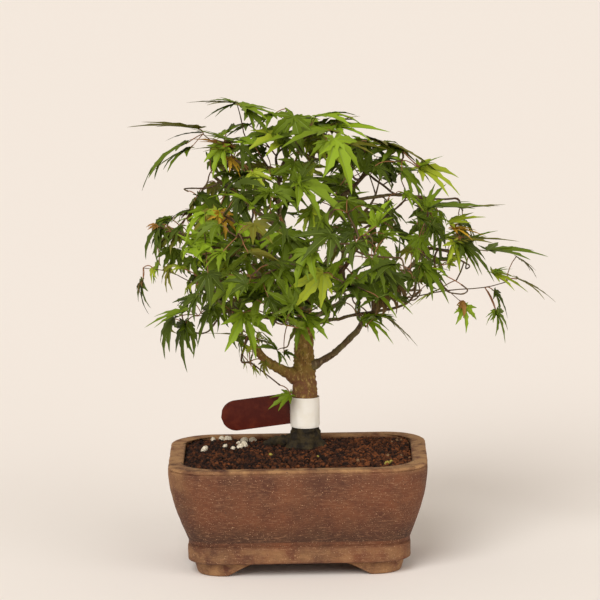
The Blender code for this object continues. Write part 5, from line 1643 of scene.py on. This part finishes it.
def grow_mass(name, marked, knots, chance):
    """One mass's twigs, the ends of its stalks and its leaves. The leaves are dealt a size, bend, fold and
    tint and turned at random, then the marked ones get their own and hang on the nearest knot or node."""
    bough, centre, _, character = MASSES[name]
    size_share, bend_mean, shares = CHARACTERS[character]
    path, radii = limbs[bough]
    sites = choose_sites(name, marked[0], chance)
    heading = unit(path[-1] - path[-6])
    knot_room = np.linalg.norm(marked[0][:, None] - knots, axis=2).min(axis=1)
    held = np.where(knot_room < KNOT_REACH)[0].tolist()
    nodes, parents, served = grow_twigs(path[-1] - MILLIMETRE * heading, heading, sites, held)
    order = np.array(sorted(served))
    holders = np.array([served[site] for site in order])
    count = len(order)
    size = LEAF_LENGTH * size_share * chance.uniform(*SIZE_RANGE, count)
    bend = bend_mean * chance.uniform(*BEND_RANGE, count)
    fold = chance.uniform(*FOLD_RANGE, count)
    draws = chance.uniform(-1, 1, (count, 4, len(LOBE_ANGLES)))
    base, starts = sites[order], nodes[holders]
    middle = MILLIMETRE * np.array(centre) + POT_MIDDLE
    forward, face, wrong = turn_leaves(base, starts, middle, size, bend, fold, draws, chance)
    chains, _, twig_of = twig_chains(parents, holders)
    odds = np.array(shares) / sum(shares)
    spray_tints = chance.choice(len(shares), len(chains), p=odds)
    own_tints = chance.choice(len(shares), count, p=odds)
    by_spray = chance.uniform(size=count) < SPRAY_TINTED
    tint = np.where(by_spray, spray_tints[[twig_of[holder] for holder in holders]], own_tints)
    for row, leaf in enumerate(order[order < len(marked[0])]):
        forward[row], face[row], size[row], tint[row], bend[row] = (part[leaf] for part in marked[1:])
        facing = abs(face[row] @ view_back)
        fold[row] = MARKED_FOLD[0] + MARKED_FOLD[1] * facing
        draws[row, 2] *= MARKED_TILT[0] + MARKED_TILT[1] * facing
        wrong[row] = 0
        apart = np.linalg.norm(knots - base[row], axis=1)
        if apart.min() < np.linalg.norm(starts[row] - base[row]):
            starts[row] = knots[apart.argmin()]
    kept = wrong == 0
    chains, load, _ = twig_chains(parents, holders[kept])
    twigs = []
    for chain in chains:
        thick = TWIG_RADIUS * np.maximum(load[chain], 1) ** TWIG_THICKENING
        thick[0] = thick[1] if chain[0] else min(thick[0], radii[-1])
        if len(chain) > 1:
            twigs.append((nodes[chain], thick))
    grown = [part[kept] for part in (base, forward, face, size, bend, fold, draws, tint)]
    return twigs, (starts[kept], base[kept], forward[kept]), grown


def grow_crown():
    """Grows every mass with the marked leaves that lie deepest in its reach, and joins what they give."""
    marked = marked_leaves()
    nearest_mass = np.stack([space_excess(name, marked[0]) for name in MASSES], axis=1).argmin(axis=1)
    twig_parts = marked_twigs()
    knots = np.concatenate([bends for bends, _ in twig_parts])
    stalk_ends, leaves = [], []
    for number, name in enumerate(MASSES):
        mine = [part[nearest_mass == number] for part in marked]
        twigs, stalks, grown = grow_mass(name, mine, knots, np.random.default_rng(101 + number))
        twig_parts += twigs
        stalk_ends.append(stalks)
        leaves.append(grown)
    return twig_parts, stalk_ends, [np.concatenate(part) for part in zip(*leaves)]


twig_parts, stalk_ends, leaves = grow_crown()
TWIG_BARK = ((0.085, 0.038, 0.020), (0.120, 0.085, 0.032), (0.21, 0.13, 0.06))
TWIG_COLUMNS = 6
TWIG_KNOT = 0.22
STALK_ROWS = 5
STALK_COLUMNS = 4
STALK_RADIUS = 0.00042
STALK_BOW_UP = (0, 0, 0.0015)
STALK_BOW_BACK = 0.0025
STALK_REFERENCE = (0.31, 0.17, 0.93)
STALK_RED = (0.26, 0.105, 0.035)
# The ribs' pieces: their colour and the numbers of the tints whose leaves they lie on
RIBS = {
    "ribs_pale": ((0.190, 0.250, 0.045), (0, 1, 2, 3, 4, 5)),
    "ribs_dry": ((0.26, 0.13, 0.05), (6, 7, 8)),
}


def make_twigs():
    """Every twig as a tapering six-sided tube with a knot at every second node."""
    points, faces, first = [], [], 0
    for knots, knot_radii in twig_parts:
        path, radii = along_knots(knots, knot_radii, 3 * len(knots) - 2, 1)
        knotted = 1 + TWIG_KNOT * (np.arange(len(radii)) % 6 == 3)
        grid, _ = round_about(path, radii * knotted, TWIG_COLUMNS)
        points.append(grid.reshape(-1, 3))
        foot = np.arange(TWIG_COLUMNS)
        tip = foot + (len(grid) - 1) * TWIG_COLUMNS
        faces += (band_faces(len(grid), TWIG_COLUMNS) + first).tolist()
        faces += [(foot[::-1] + first).tolist(), (tip + first).tolist()]
        first += len(grid) * TWIG_COLUMNS
    finish = bark_finish("twig_bark", TWIG_BARK, None, roughness=0.5)
    twigs = add_piece("twigs", np.concatenate(points), faces, finish)


def make_stalks():
    """Each leaf's stalk: a thin four-sided tube that leaves its twig and bows over into the leaf."""
    start, end, forward = (np.concatenate(part) for part in zip(*stalk_ends))
    share = np.linspace(0, 1, STALK_ROWS)[None, :, None]
    control = (start + end)[:, None] / 2 + STALK_BOW_UP - STALK_BOW_BACK * forward[:, None]
    path = start[:, None] * (1 - share) ** 2 + 2 * control * share * (1 - share) + end[:, None] * share**2
    way = unit(np.gradient(path, axis=1))
    side = unit(np.cross(way, STALK_REFERENCE))
    other = np.cross(way, side)
    angles = np.arange(STALK_COLUMNS) * np.pi / 2
    ring = np.cos(angles)[:, None] * side[:, :, None] + np.sin(angles)[:, None] * other[:, :, None]
    grid = path[:, :, None] + STALK_RADIUS * ring
    faces = repeated(band_faces(STALK_ROWS, STALK_COLUMNS), len(start), STALK_ROWS * STALK_COLUMNS)
    finish, _, _, _ = new_finish("leaf_stalk", 0.45, STALK_RED)
    stalks = add_piece("leaf_stalks", grid, faces, finish)


def leaf_finish(name, colour):
    """A leaf's skin: one plain tint with the soft sheen of its waxy face."""
    finish, _, shader, _ = new_finish(name, 0.55, colour)
    shader.inputs["Specular IOR Level"].default_value = 0.20
    return finish


def drop_loose_corners(piece):
    """Deletes the corners that no face of the mesh uses."""
    shape = bmesh.new()
    shape.from_mesh(piece.data)
    loose = [corner for corner in shape.verts if not corner.link_faces]
    bmesh.ops.delete(shape, geom=loose, context="VERTS")
    shape.to_mesh(piece.data)
    shape.free()


def make_leaves():
    """One mesh of blades for each tint, and one of ribs for the green leaves and one for the dry ones."""
    *turned_and_bent, tint = leaves
    shapes = leaf_shape(*turned_and_bent, LEAF_CORNERS)
    for kind, (name, colour) in enumerate(LEAF_TINTS.items()):
        chosen = shapes[tint == kind]
        if not len(chosen):
            continue
        faces = repeated(BLADE_FACES, len(chosen), len(LEAF_CORNERS))
        blades = add_piece(f"leaves_{name}", chosen, faces, leaf_finish(f"leaf_{name}", colour))
        if name == "mid_green":
            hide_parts(*MASSES)
    for name, (colour, kinds) in RIBS.items():
        chosen = shapes[np.isin(tint, kinds)]
        faces = repeated(RIB_FACES, len(chosen), len(LEAF_CORNERS))
        ribs = add_piece(name, chosen, faces, leaf_finish(name, colour))
        drop_loose_corners(ribs)


make_twigs()
make_stalks()
make_leaves()
